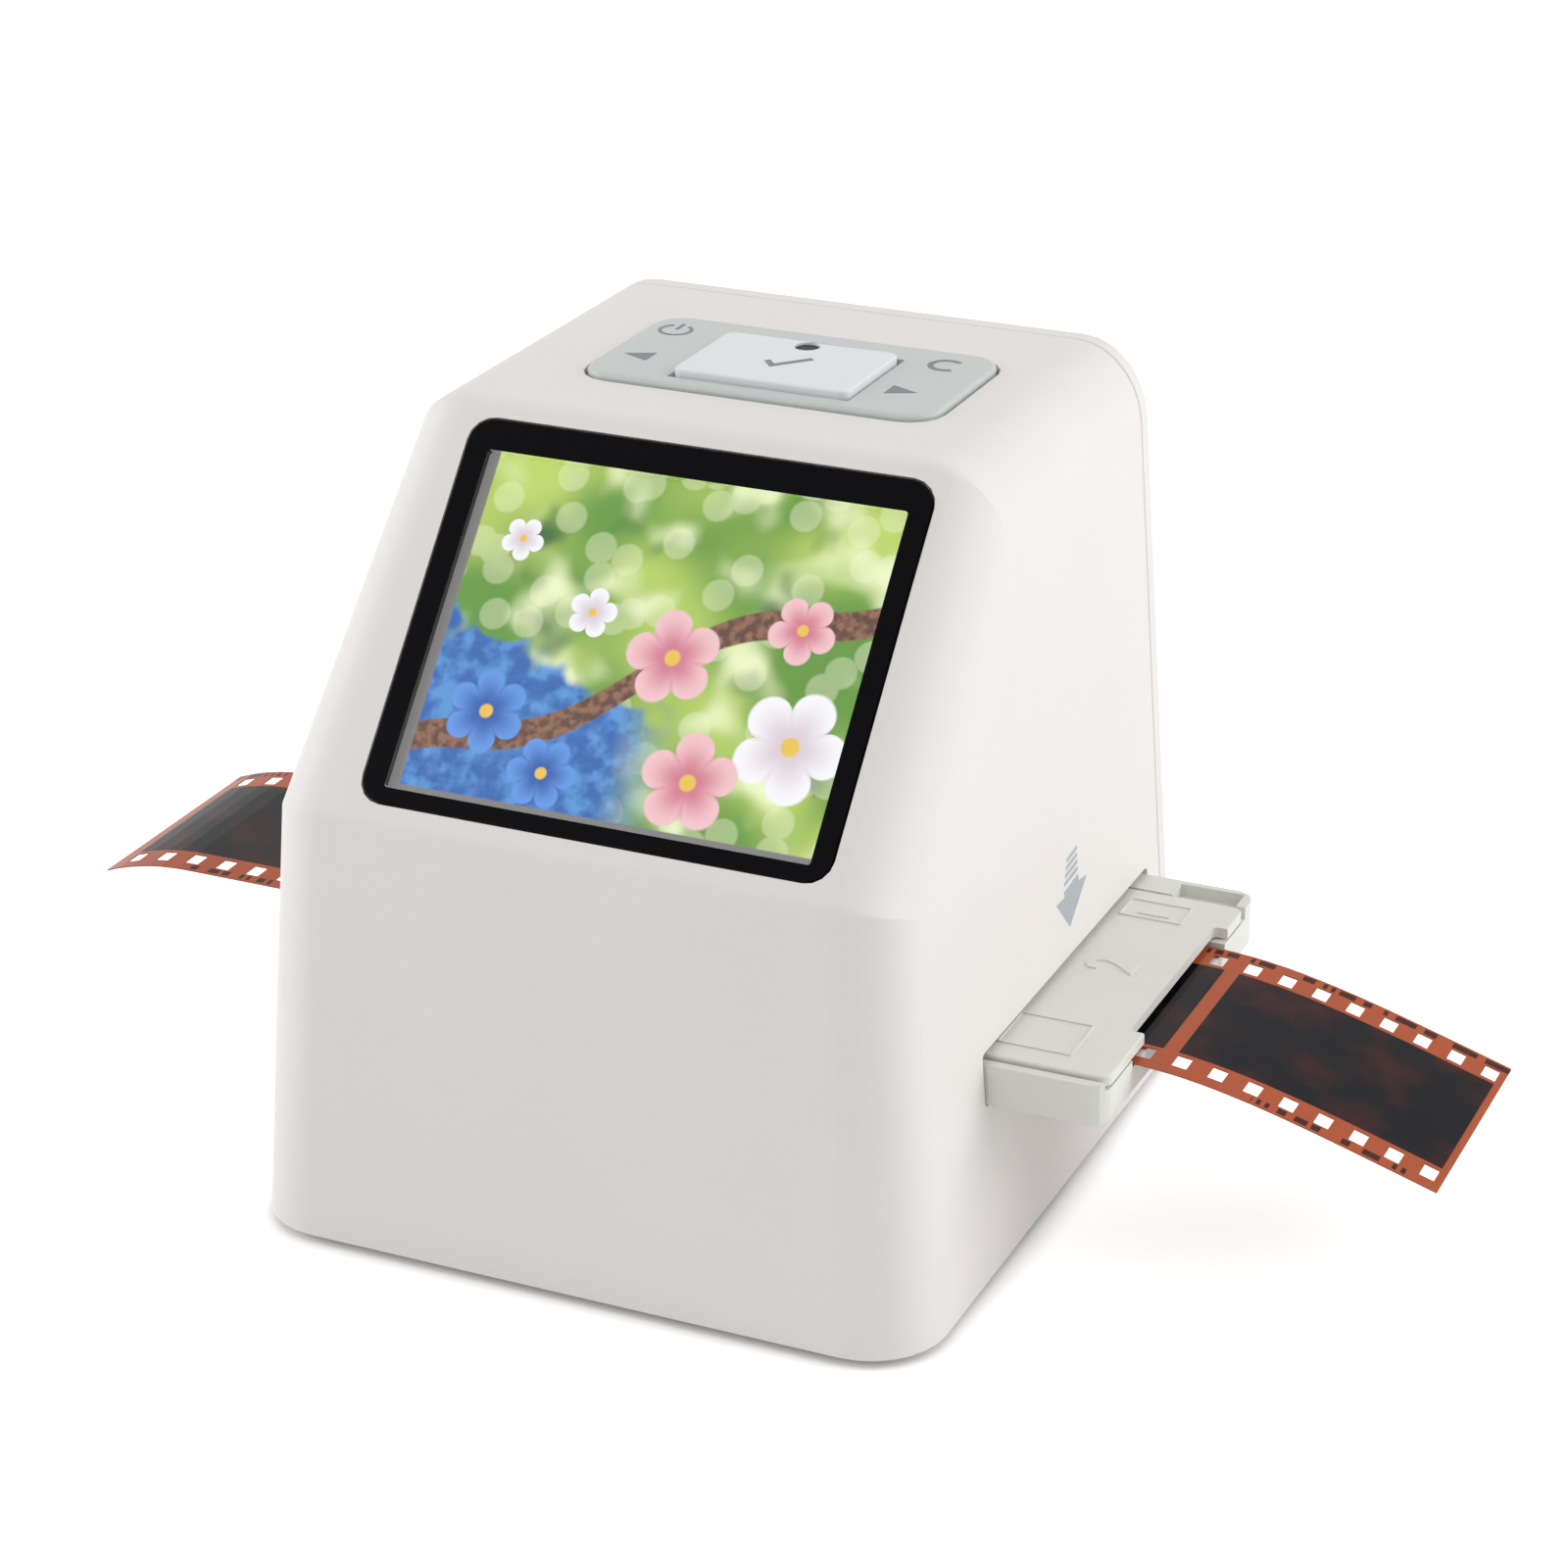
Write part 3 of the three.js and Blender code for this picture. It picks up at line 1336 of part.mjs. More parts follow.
function filmStrip() {
  const along = [filmStart];
  for (let i = perforationCount - 1; i >= 0; i--) {
    const middle = filmFirstPerforation - filmPitch * i;
    along.push(middle - perforationLength / 2, middle + perforationLength / 2);
  }
  along.push(filmRightEnd);
  const row = perforationRowGap / 2;
  const half = perforationWidth / 2;
  const across = [-filmWidth / 2, -row - half, -row + half, row - half, row + half, filmWidth / 2];
  const points = [];
  for (const s of along) {
    const { x, z, slope } = bentPlace(s);
    for (const y of across) {
      for (const side of [-1, 1]) {
        const h = (side * filmThickness) / 2;
        points.push(new THREE.Vector3(x - h * Math.sin(slope), filmY + y, z + h * Math.cos(slope)));
      }
    }
  }
  const at = (i, j, upper) => (i * across.length + j) * 2 + upper;
  const open = (i, j) => i % 2 === 1 && (j === 1 || j === 3) && i < along.length - 1;
  const filled = (i, j) => i >= 0 && j >= 0 && i < along.length - 1 && j < across.length - 1 && !open(i, j);
  const faces = [];
  const quad = (a, b, c, d) => faces.push(a, b, c, a, c, d);
  for (let i = 0; i < along.length - 1; i++) {
    for (let j = 0; j < across.length - 1; j++) {
      if (!filled(i, j)) continue;
      quad(at(i, j, 1), at(i + 1, j, 1), at(i + 1, j + 1, 1), at(i, j + 1, 1));
      quad(at(i, j, 0), at(i, j + 1, 0), at(i + 1, j + 1, 0), at(i + 1, j, 0));
      if (!filled(i - 1, j)) quad(at(i, j, 0), at(i, j, 1), at(i, j + 1, 1), at(i, j + 1, 0));
      if (!filled(i + 1, j)) quad(at(i + 1, j, 0), at(i + 1, j + 1, 0), at(i + 1, j + 1, 1), at(i + 1, j, 1));
      if (!filled(i, j - 1)) quad(at(i, j, 0), at(i + 1, j, 0), at(i + 1, j, 1), at(i, j, 1));
      if (!filled(i, j + 1)) quad(at(i, j + 1, 0), at(i, j + 1, 1), at(i + 1, j + 1, 1), at(i + 1, j + 1, 0));
    }
  }
  const geometry = new THREE.BufferGeometry().setFromPoints(points);
  geometry.setIndex(faces);
  return geometry;
}

// Materials, as seen in the photograph

function material(color, roughness, metalness = 0) {
  return new THREE.MeshStandardMaterial({ color, roughness, metalness });
}
const shellWhite = () => material("#e3dfdb", 0.45);
const keyGrey = () => material("#c9ccca", 0.4);
const keyWhite = () => material("#eef0f1", 0.35);
const trayIvory = () => material("#dadbd3", 0.5);
const glass = () => material("#0e0f12", 0.08);
const screenBlue = () => material("#6f8b78", 0.3);
const filmBrown = () => material("#8f4630", 0.3);
const rubber = () => material("#2c2c2e", 0.9);
const darkPlastic = () => material("#202124", 0.7);
const boardGreen = () => material("#1f5a3a", 0.6);
const steel = () => material("#b9bcc0", 0.35, 1);
const lensGlass = () => material("#b8ccd6", 0.05);
const milkWhite = () => material("#f4f4f0", 0.8);
const amber = () => material("#c98a3c", 0.5);

// Assembly

const scanner = new THREE.Group();

function add(parent, name, shape, look, [x, y, z] = [0, 0, 0]) {
  const geometry = shape.isBufferGeometry ? shape : geometryOf(shape);
  const mesh = new THREE.Mesh(geometry, look);
  mesh.name = name;
  mesh.position.set(x, y, z);
  parent.add(mesh);
  return mesh;
}

function group(parent, [x, y, z]) {
  const made = new THREE.Group();
  made.position.set(x, y, z);
  parent.add(made);
  return made;
}

add(scanner, "front_shell", frontShell(), shellWhite());
add(scanner, "rear_cover", rearCover(), shellWhite());
add(scanner, "base_plate", basePlate(), shellWhite());
for (const { name, x, y } of footPlaces) add(scanner, name, foot(), rubber(), [x, y, 0]);

for (const { name, x, y } of baseScrewPlaces) {
  const made = add(scanner, name, screw(baseScrewLength), steel(), [x, y, screwHeadHeight]);
  made.rotation.x = Math.PI;
}
for (const [name, x, y] of trackScrewPlaces) {
  const made = add(scanner, name, screw(trackTop + trackThickness), steel(), [x, y, screwHeadHeight]);
  made.rotation.x = Math.PI;
}
for (const [name, side] of [["rear_screw_left", -1], ["rear_screw_right", 1]]) {
  const place = [rearScrewX(side), rearY - screwHeadHeight, rearScrewHeight];
  const made = add(scanner, name, screw(rearScrewLength), steel(), place);
  made.rotation.x = -Math.PI / 2;
}

const screen = group(scanner, [0, 0, 0]);
screen.applyMatrix4(slopeFrame);
add(screen, "display_window", displayWindow(), glass());
add(screen, "lcd_panel", lcdPanel(), screenBlue());
add(screen, "lcd_backlight", lcdBacklight(), milkWhite());
add(screen, "lcd_frame", lcdFrame(), darkPlastic());
add(scanner, "lcd_flex", lcdFlex(), amber());

const keys = group(scanner, [0, keyCentreY, 0]);
add(keys, "rocker_plate", rockerPlate(), keyGrey());
add(keys, "rocker_flex_ring", flexRing(), darkPlastic());
add(keys, "ok_button", okButton(), keyWhite(), [0, okOffset, 0]);
add(keys, "key_board", keyBoard(), boardGreen());
const switchPlaces = [
  ["switch_power", -switchX, switchY],
  ["switch_mode", switchX, switchY],
  ["switch_left", -switchX, -switchY],
  ["switch_right", switchX, -switchY],
  ["switch_ok", 0, okSwitchY],
];
for (const [name, x, y] of switchPlaces) add(keys, name, tactSwitch(), steel(), [x, y, 0]);
add(keys, "status_led", statusLed(), darkPlastic(), [0, ledY, 0]);
for (const [name, side] of [["key_board_screw_left", -1], ["key_board_screw_right", 1]]) {
  const place = [side * keyScrewX, 0, keyBoardTop - boardThickness - seatGap];
  const made = add(keys, name, screw(keyScrewLength), steel(), place);
  made.rotation.x = Math.PI;
}

add(scanner, "tray_track", trayTrack(), darkPlastic());
add(scanner, "film_gate", filmGate(), darkPlastic());
add(scanner, "detent_spring", detentSpring(), steel());
for (const [name, x, y] of gateScrewPlaces) {
  add(scanner, name, screw(gateScrewLength), steel(), [x, y, gateTop + seatGap]);
}

const lamp = group(scanner, [0, filmY, 0]);
add(lamp, "backlight_housing", backlightHousing(), milkWhite());
add(lamp, "led_board", ledBoard(), boardGreen());
add(lamp, "diffuser_plate", diffuserPlate(), milkWhite());

const camera = group(scanner, [0, filmY, 0]);
const lensMiddles = [
  barrelBottom + frontBoreDepth - fitGap - lensBulge - lensRim / 2,
  barrelTop - rearBoreDepth + fitGap + lensBulge + lensRim / 2,
];
add(camera, "camera_tower", cameraTower(), darkPlastic());
add(camera, "lens_barrel", lensBarrel(), steel());
add(camera, "lens_front_element", lens(frontLensRadius, lensRim, lensBulge, lensMiddles[0]), lensGlass());
add(camera, "lens_rear_element", lens(rearLensRadius, lensRim / 2, lensBulge, lensMiddles[1]), lensGlass());
add(camera, "infrared_filter", irFilter(), lensGlass());
add(camera, "sensor_board", sensorBoard(), boardGreen());
add(camera, "image_sensor", imageSensor(), darkPlastic());
for (const [name, side] of [["tower_screw_left", -1], ["tower_screw_right", 1]]) {
  const place = [side * towerScrewX, 0, towerBottom + towerFlangeThickness + seatGap];
  add(camera, name, screw(towerScrewLength), steel(), place);
}

add(scanner, "main_board", mainBoard(), boardGreen());
for (const [i, z] of lugHeights.entries()) {
  const place = [mainBoardX + boardThickness + seatGap, filmY, z];
  const name = ["main_board_screw_lower", "main_board_screw_upper"][i];
  const made = add(scanner, name, screw(boardScrewLength), steel(), place);
  made.rotation.y = Math.PI / 2;
}
add(scanner, "sd_card_socket", sdSocket(), steel());
add(scanner, "usb_socket", usbSocket(), steel());
add(scanner, "av_jack", avJack(), darkPlastic());

add(scanner, "holder_base", holderBase(), trayIvory());
add(scanner, "holder_cover", holderCover(), trayIvory(), [trayCentreX, coverMiddleY, 0]);
const pinEnd = [trayCentreX - hingeLength / 2, hingeY, hingeZ];
add(scanner, "holder_hinge_pin", rod(hingePinRadius, pinEnd, hingeLength, "x"), steel());
add(scanner, "film_strip", filmStrip(), filmBrown());

export default scanner;
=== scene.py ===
# %% [markdown]
# A desktop scanner for strips of film negatives: an upright white housing with a sloped display, keys
# on its top, and a film holder that runs through two side slots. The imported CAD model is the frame:
# every piece here is in metres in the same frame, and sits where the CAD says.

# %% Load the frame
import math

import bmesh
import bpy
from mathutils import Matrix, Vector


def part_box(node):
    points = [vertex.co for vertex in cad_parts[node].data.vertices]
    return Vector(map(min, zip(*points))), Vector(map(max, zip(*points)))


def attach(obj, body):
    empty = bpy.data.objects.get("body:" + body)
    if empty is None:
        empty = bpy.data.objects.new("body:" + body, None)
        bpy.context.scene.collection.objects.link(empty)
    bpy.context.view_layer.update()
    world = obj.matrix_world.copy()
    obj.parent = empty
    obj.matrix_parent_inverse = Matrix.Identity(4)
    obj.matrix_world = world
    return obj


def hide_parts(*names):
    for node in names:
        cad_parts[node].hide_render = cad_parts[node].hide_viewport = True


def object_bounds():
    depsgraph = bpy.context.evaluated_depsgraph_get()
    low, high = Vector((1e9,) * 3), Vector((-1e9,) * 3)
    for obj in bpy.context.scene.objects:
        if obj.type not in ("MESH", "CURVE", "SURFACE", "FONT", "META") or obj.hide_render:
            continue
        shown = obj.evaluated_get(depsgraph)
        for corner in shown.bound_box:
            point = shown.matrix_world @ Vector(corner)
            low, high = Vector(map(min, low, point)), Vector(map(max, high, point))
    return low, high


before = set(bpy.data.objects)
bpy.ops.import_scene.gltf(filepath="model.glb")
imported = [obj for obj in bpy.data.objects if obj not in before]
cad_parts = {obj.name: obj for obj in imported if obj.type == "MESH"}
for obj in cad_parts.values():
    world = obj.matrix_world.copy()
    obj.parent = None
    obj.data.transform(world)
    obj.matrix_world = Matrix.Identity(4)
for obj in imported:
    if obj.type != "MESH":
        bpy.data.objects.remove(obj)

cad_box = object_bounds()
MM = 0.001
print("CAD box in mm:", [[round(v / MM, 1) for v in corner] for corner in cad_box])

# %% [markdown]
# Colours are written as they look on a screen, from 0 to 255, and turned into the linear values that a
# shader works with.

# %% Colours
def linear(red, green, blue):
    shares = [c / 255 for c in (red, green, blue)]
    return [s / 12.92 if s <= 0.04045 else ((s + 0.055) / 1.055) ** 2.4 for s in shares] + [1.0]

print("mid grey is", [round(c, 3) for c in linear(128, 128, 128)])

# %% [markdown]
# The camera stands to the right of the display, a little above the housing, where the photograph was
# taken from. Its three axes are written as a rotation matrix, and the small shift puts the object where
# it is in the frame.

# %% Camera
camera_data = bpy.data.cameras.new("camera")
camera_data.lens = 93.098
camera_data.sensor_width = 36
camera_data.shift_x = -0.04323
camera_data.shift_y = -0.05143
camera = bpy.data.objects.new("camera", camera_data)
bpy.context.scene.collection.objects.link(camera)
right = Vector((0.91762573, 0.39744036, 0.00204346))
above = Vector((-0.15443469, 0.35181790, 0.92324108))
behind = Vector((0.36621434, -0.84750536, 0.38421574))
turn = Matrix((right, above, behind)).transposed().to_4x4()
camera_place = (0.203060, -0.433436, 0.261170)
camera.matrix_world = Matrix.Translation(camera_place) @ turn
bpy.context.scene.camera = camera
print("camera stands at", [round(v, 3) for v in camera.location])

# %% [markdown]
# A shader is a small network of nodes. These helpers add a node, join sockets, and keep each material
# below short: one for arithmetic, one for colour mixes, one for a soft step between two values.

# %% Node helpers
def node(tree, kind, **settings):
    made = tree.nodes.new(kind)
    for name, value in settings.items():
        setattr(made, name, value)
    return made


def feed(tree, socket, value):
    if isinstance(value, bpy.types.NodeSocket):
        tree.links.new(value, socket)
    else:
        socket.default_value = value


def maths(tree, operation, first, second=0.0, third=0.0):
    made = node(tree, "ShaderNodeMath", operation=operation)
    for socket, value in zip(made.inputs, (first, second, third)):
        feed(tree, socket, value)
    return made.outputs[0]


def mixed(tree, share, first, second):
    made = node(tree, "ShaderNodeMix", data_type="RGBA")
    feed(tree, made.inputs["Factor"], share)
    feed(tree, made.inputs["A"], first)
    feed(tree, made.inputs["B"], second)
    return made.outputs["Result"]


def ranged(tree, value, low, high, to_low=0.0, to_high=1.0):
    made = node(tree, "ShaderNodeMapRange", interpolation_type="SMOOTHSTEP")
    for socket, given in zip(made.inputs, (value, low, high, to_low, to_high)):
        feed(tree, socket, given)
    return made.outputs["Result"]


def noise(tree, place, scale, detail=2.0):
    made = node(tree, "ShaderNodeTexNoise")
    feed(tree, made.inputs["Vector"], place)
    made.inputs["Scale"].default_value = scale
    made.inputs["Detail"].default_value = detail
    return made.outputs["Fac"]

print("node helpers are ready")

# %% [markdown]
# A moulded plastic is never one flat colour. The mould's spark-eroded face leaves a fine grain,
# handling and moulding leave slightly glossier and duller patches, and the colour drifts by a percent
# or two. One function makes each plain finish from these three, with its own colour, gloss and grain
# size.

# %% A finish with grain, patches and drift
DRIFT_SCALE, PATCH_SCALE, GRAIN_STRENGTH = 60, 140, 0.35


def finish(name, colour, roughness, metallic=0.0, grain=0.3, depth=0.02, drift=0.03, patch=0.06, **sockets):
    material = bpy.data.materials.new(name)
    material.use_nodes = True
    tree = material.node_tree
    shader = tree.nodes["Principled BSDF"]
    place = node(tree, "ShaderNodeTexCoord").outputs["Object"]
    shade = linear(*colour)
    darker = [c * (1 - drift) for c in shade[:3]] + [1.0]
    feed(tree, shader.inputs["Base Color"], mixed(tree, noise(tree, place, DRIFT_SCALE), darker, shade))
    patches = noise(tree, place, PATCH_SCALE, 4.0)
    gloss = ranged(tree, patches, 0.3, 0.7, roughness - patch / 2, roughness + patch / 2)
    feed(tree, shader.inputs["Roughness"], gloss)
    shader.inputs["Metallic"].default_value = metallic
    bump = node(tree, "ShaderNodeBump")
    bump.inputs["Strength"].default_value = GRAIN_STRENGTH
    bump.inputs["Distance"].default_value = depth * MM
    feed(tree, bump.inputs["Height"], noise(tree, place, 1 / (grain * MM), 3.0))
    feed(tree, shader.inputs["Normal"], bump.outputs["Normal"])
    for socket, value in sockets.items():
        shader.inputs[socket.replace("_", " ")].default_value = value
    return material


shell_white = finish("shell_white", (238, 234, 231), 0.5, grain=0.35, depth=0.012, Specular_IOR_Level=0.3)
key_grey = finish("key_grey", (205, 209, 208), 0.45, grain=0.3, depth=0.01, Specular_IOR_Level=0.35)
ok_white = finish("ok_white", (236, 238, 240), 0.5, grain=0.5, depth=0.006, Specular_IOR_Level=0.22)
tray_ivory = finish("tray_ivory", (229, 230, 223), 0.46, grain=0.6, depth=0.12, patch=0.12)
matt_black = finish("matt_black", (34, 34, 37), 0.62, grain=0.4, depth=0.03)
milk_white = finish("milk_white", (244, 244, 240), 0.7, grain=0.6, depth=0.02)
foot_rubber = finish("foot_rubber", (44, 44, 46), 0.85, grain=0.25, depth=0.05, patch=0.1)
print("materials so far:", len(bpy.data.materials))

# %% [markdown]
# Metal pieces: bright screws and springs, pressed plated sockets and a black anodised lens barrel.
# Drawn and turned metal has fine lines, so a noise stretched along one axis drives the bump. Glass and
# the amber ribbon are plain finishes with a few sockets set.

# %% Metals, glass and ribbon
LINE_SCALE = 900


def brushed(name, colour, roughness, stretch=(1, 1, 14), metallic=1.0):
    material = finish(name, colour, roughness, metallic=metallic, grain=0.2, depth=0.01, patch=0.12)
    tree = material.node_tree
    place = node(tree, "ShaderNodeTexCoord").outputs["Object"]
    mapping = node(tree, "ShaderNodeMapping")
    feed(tree, mapping.inputs["Vector"], place)
    mapping.inputs["Scale"].default_value = stretch
    bump = next(n for n in tree.nodes if n.type == "BUMP")
    feed(tree, bump.inputs["Height"], noise(tree, mapping.outputs["Vector"], LINE_SCALE))
    return material


screw_steel = brushed("screw_steel", (186, 188, 192), 0.32)
plated_steel = brushed("plated_steel", (196, 198, 200), 0.28, stretch=(1, 12, 1))
barrel_black = brushed("barrel_black", (46, 46, 50), 0.4, metallic=0.8)
glass_clear = finish("glass_clear", (248, 250, 252), 0.03, grain=4.0, depth=0.001, drift=0.0, patch=0.02,
                     Transmission_Weight=1.0, IOR=1.08)
lens_glass = finish("lens_glass", (205, 222, 232), 0.03, grain=4.0, depth=0.001, patch=0.02,
                    Transmission_Weight=0.9, IOR=1.6)
ribbon_amber = finish("ribbon_amber", (196, 128, 52), 0.35, grain=1.2, depth=0.01)
print("metals and glasses are ready")

# %% [markdown]
# A circuit board is glass cloth under green lacquer, with copper tracks just visible as slightly
# raised, lighter lines. A brick texture with thin joints gives straight tracks at the right scale.

# %% Board finish
def board_finish(name, colour, track_colour):
    material = finish(name, colour, 0.38, grain=0.3, depth=0.01)
    tree = material.node_tree
    shader = tree.nodes["Principled BSDF"]
    place = node(tree, "ShaderNodeTexCoord").outputs["Object"]
    mapping = node(tree, "ShaderNodeMapping")
    feed(tree, mapping.inputs["Vector"], place)
    mapping.inputs["Rotation"].default_value = (0.6, 0.5, 0.3)
    tracks = node(tree, "ShaderNodeTexBrick")
    feed(tree, tracks.inputs["Vector"], mapping.outputs["Vector"])
    tracks.inputs["Scale"].default_value = 160
    tracks.inputs["Mortar Size"].default_value = 0.06
    tracks.inputs["Color1"].default_value = linear(*colour)
    tracks.inputs["Color2"].default_value = linear(*[c * 0.93 for c in colour])
    tracks.inputs["Mortar"].default_value = linear(*track_colour)
    feed(tree, shader.inputs["Base Color"], tracks.outputs["Color"])
    return material


board_green = board_finish("board_green", (24, 92, 58), (60, 132, 84))
print("board finish is ready")

# %% [markdown]
# The film is developed negative: a glossy orange-brown base with dark, slightly red picture frames, 36
# mm wide on a 38 mm pitch. Dark bars run along the far edge, and along the near edge beside the middle
# of each frame. All of it is worked out from the object's own X and Y, so the pattern stays on the
# strip.

# %% Film finish
film_middle = 8.0
frame_start, frame_pitch, frame_long = 62.0, 38.0, 36.0
half_picture = 12.0
strip_end = 96.4
EDGE_SOFT = 0.15
MARK_NEAR, MARK_FAR, MARK_CELL = 15.8, 17.1, 0.55
DASHES_FROM, DASHES_TO = 11.0, 31.0
FILM_BASE, FILM_BASE_DARK = linear(188, 94, 56), linear(174, 82, 50)
PICTURE_BLACK, PICTURE_RED = linear(10, 11, 18), linear(60, 22, 22)
MARK_BROWN = linear(36, 20, 18)


def inside(tree, value, low, high):
    rising = ranged(tree, value, low - EDGE_SOFT / 2, low + EDGE_SOFT / 2)
    falling = ranged(tree, value, high - EDGE_SOFT / 2, high + EDGE_SOFT / 2, 1.0, 0.0)
    return maths(tree, "MULTIPLY", rising, falling)


def edge_marks(tree, along, across, step):
    """Dark bars of random length along the far edge, and along part of the near edge."""
    chance = node(tree, "ShaderNodeTexWhiteNoise", noise_dimensions="1D")
    feed(tree, chance.inputs["W"], maths(tree, "FLOOR", maths(tree, "DIVIDE", along, MARK_CELL)))
    bars = maths(tree, "MULTIPLY", inside(tree, across, MARK_NEAR, MARK_FAR),
                 maths(tree, "GREATER_THAN", chance.outputs["Value"], 0.36))
    dashes = maths(tree, "MULTIPLY", inside(tree, across, -MARK_FAR, -MARK_NEAR),
                   maths(tree, "LESS_THAN", chance.outputs["Value"], 0.5))
    dashes = maths(tree, "MULTIPLY", dashes, inside(tree, step, DASHES_FROM, DASHES_TO))
    return maths(tree, "MAXIMUM", bars, dashes)


def film_tones(tree, place, blurred):
    apart = node(tree, "ShaderNodeSeparateXYZ")
    feed(tree, apart.inputs[0], place)
    along = maths(tree, "DIVIDE", apart.outputs["X"], MM)
    across = maths(tree, "SUBTRACT", maths(tree, "DIVIDE", apart.outputs["Y"], MM), film_middle)
    step = maths(tree, "MODULO", maths(tree, "ADD", along, 6 * frame_pitch - frame_start), frame_pitch)
    picture = maths(tree, "MULTIPLY", inside(tree, step, 0.0, frame_long),
                    inside(tree, across, -half_picture, half_picture))
    before_end = ranged(tree, along, strip_end - 0.1, strip_end + 0.1, 1.0, 0.0)
    picture = maths(tree, "MULTIPLY", picture, before_end)
    base = mixed(tree, noise(tree, place, 70, 3.0), FILM_BASE, FILM_BASE_DARK)
    dark = mixed(tree, ranged(tree, blurred, 0.42, 0.72), PICTURE_BLACK, PICTURE_RED)
    marks = maths(tree, "MULTIPLY", edge_marks(tree, along, across, step), 0.9)
    return mixed(tree, marks, mixed(tree, picture, base, dark), MARK_BROWN)


def film_finish():
    material = bpy.data.materials.new("film_brown")
    material.use_nodes = True
    tree = material.node_tree
    shader = tree.nodes["Principled BSDF"]
    place = node(tree, "ShaderNodeTexCoord").outputs["Object"]
    blurred = noise(tree, place, 130, 5.0)
    feed(tree, shader.inputs["Base Color"], film_tones(tree, place, blurred))
    feed(tree, shader.inputs["Roughness"], ranged(tree, blurred, 0.3, 0.7, 0.10, 0.16))
    shader.inputs["Specular IOR Level"].default_value = 0.09
    bump = node(tree, "ShaderNodeBump")
    bump.inputs["Strength"].default_value = 0.2
    bump.inputs["Distance"].default_value = 0.01 * MM
    feed(tree, bump.inputs["Height"], noise(tree, place, 220))
    feed(tree, shader.inputs["Normal"], bump.outputs["Normal"])
    return material


film_brown = film_finish()
print("film frames start at", frame_start, "mm and repeat every", frame_pitch, "mm")

# %% [markdown]
# The display shows a bright garden picture: soft green light behind, a blue pond edge, a brown branch,
# and pink and white blossoms. A flower is drawn by its polar outline: the distance from its centre is
# compared with a radius that swells and shrinks once for each petal. The picture is lit from behind, so
# it is an emission. It leaves a grey strip bare along its left and its lower edge.

# %% Display picture
slope_foot = Vector((0.0, -45.05 * MM, 58.5 * MM))
slope_top = Vector((0.0, -8.2 * MM, 101.6 * MM))
slope_up = (slope_top - slope_foot).normalized()
slope_out = Vector((1, 0, 0)).cross(slope_up)
lit_left, lit_right, lit_low, lit_high = -28.15, 28.55, 5.0, 49.9
strip_left, strip_low = 1.2, 1.1
STRIP_GREY = linear(128, 125, 122)


def flower(tree, u, v, centre, size, petals, twist, petal, rim):
    du = maths(tree, "SUBTRACT", u, centre[0])
    dv = maths(tree, "SUBTRACT", v, centre[1])
    squares = maths(tree, "ADD", maths(tree, "MULTIPLY", du, du), maths(tree, "MULTIPLY", dv, dv))
    reach = maths(tree, "SQRT", squares)
    angle = maths(tree, "ADD", maths(tree, "ARCTAN2", dv, du), twist)
    wave = maths(tree, "ABSOLUTE", maths(tree, "COSINE", maths(tree, "MULTIPLY", angle, petals / 2)))
    edge = maths(tree, "MULTIPLY_ADD", maths(tree, "POWER", wave, 0.55), size * 0.42, size * 0.58)
    share = maths(tree, "DIVIDE", reach, edge)
    mask = ranged(tree, share, 0.93, 1.0, 1.0, 0.0)
    shade = mixed(tree, ranged(tree, share, 0.15, 0.95), linear(*rim), linear(*petal))
    crease = maths(tree, "MULTIPLY", ranged(tree, wave, 0.0, 0.35, 1.0, 0.0), 0.5)
    shade = mixed(tree, crease, shade, linear(*rim))
    heart = ranged(tree, maths(tree, "DIVIDE", reach, size), 0.13, 0.19, 1.0, 0.0)
    return mask, mixed(tree, heart, shade, linear(238, 196, 70))


def display_place(tree, place):
    """How far a point lies to the right of the display's middle and up the slope, in mm."""
    apart = node(tree, "ShaderNodeSeparateXYZ")
    feed(tree, apart.inputs[0], place)
    rise = node(tree, "ShaderNodeVectorMath", operation="DOT_PRODUCT")
    feed(tree, rise.inputs[0], place)
    rise.inputs[1].default_value = slope_up
    height = maths(tree, "SUBTRACT", rise.outputs["Value"], slope_foot.dot(slope_up))
    return maths(tree, "DIVIDE", apart.outputs["X"], MM), maths(tree, "DIVIDE", height, MM)


def clouds(tree, spot, scale, low, high, detail=1.0):
    return ranged(tree, noise(tree, spot, scale, detail), low, high)


def garden(tree, spot):
    tones = mixed(tree, clouds(tree, spot, 0.05, 0.35, 0.65), linear(96, 150, 44), linear(190, 214, 96))
    tones = mixed(tree, clouds(tree, spot, 0.11, 0.48, 0.7), tones, linear(238, 246, 190))
    tones = mixed(tree, clouds(tree, spot, 0.09, 0.55, 0.72, 2.0), tones, linear(52, 104, 38))
    discs = node(tree, "ShaderNodeTexVoronoi", voronoi_dimensions="2D")
    feed(tree, discs.inputs["Vector"], spot)
    discs.inputs["Scale"].default_value = 0.16
    glow = maths(tree, "MULTIPLY", ranged(tree, discs.outputs["Distance"], 0.30, 0.36, 1.0, 0.0), 0.28)
    return mixed(tree, glow, tones, linear(250, 252, 214))


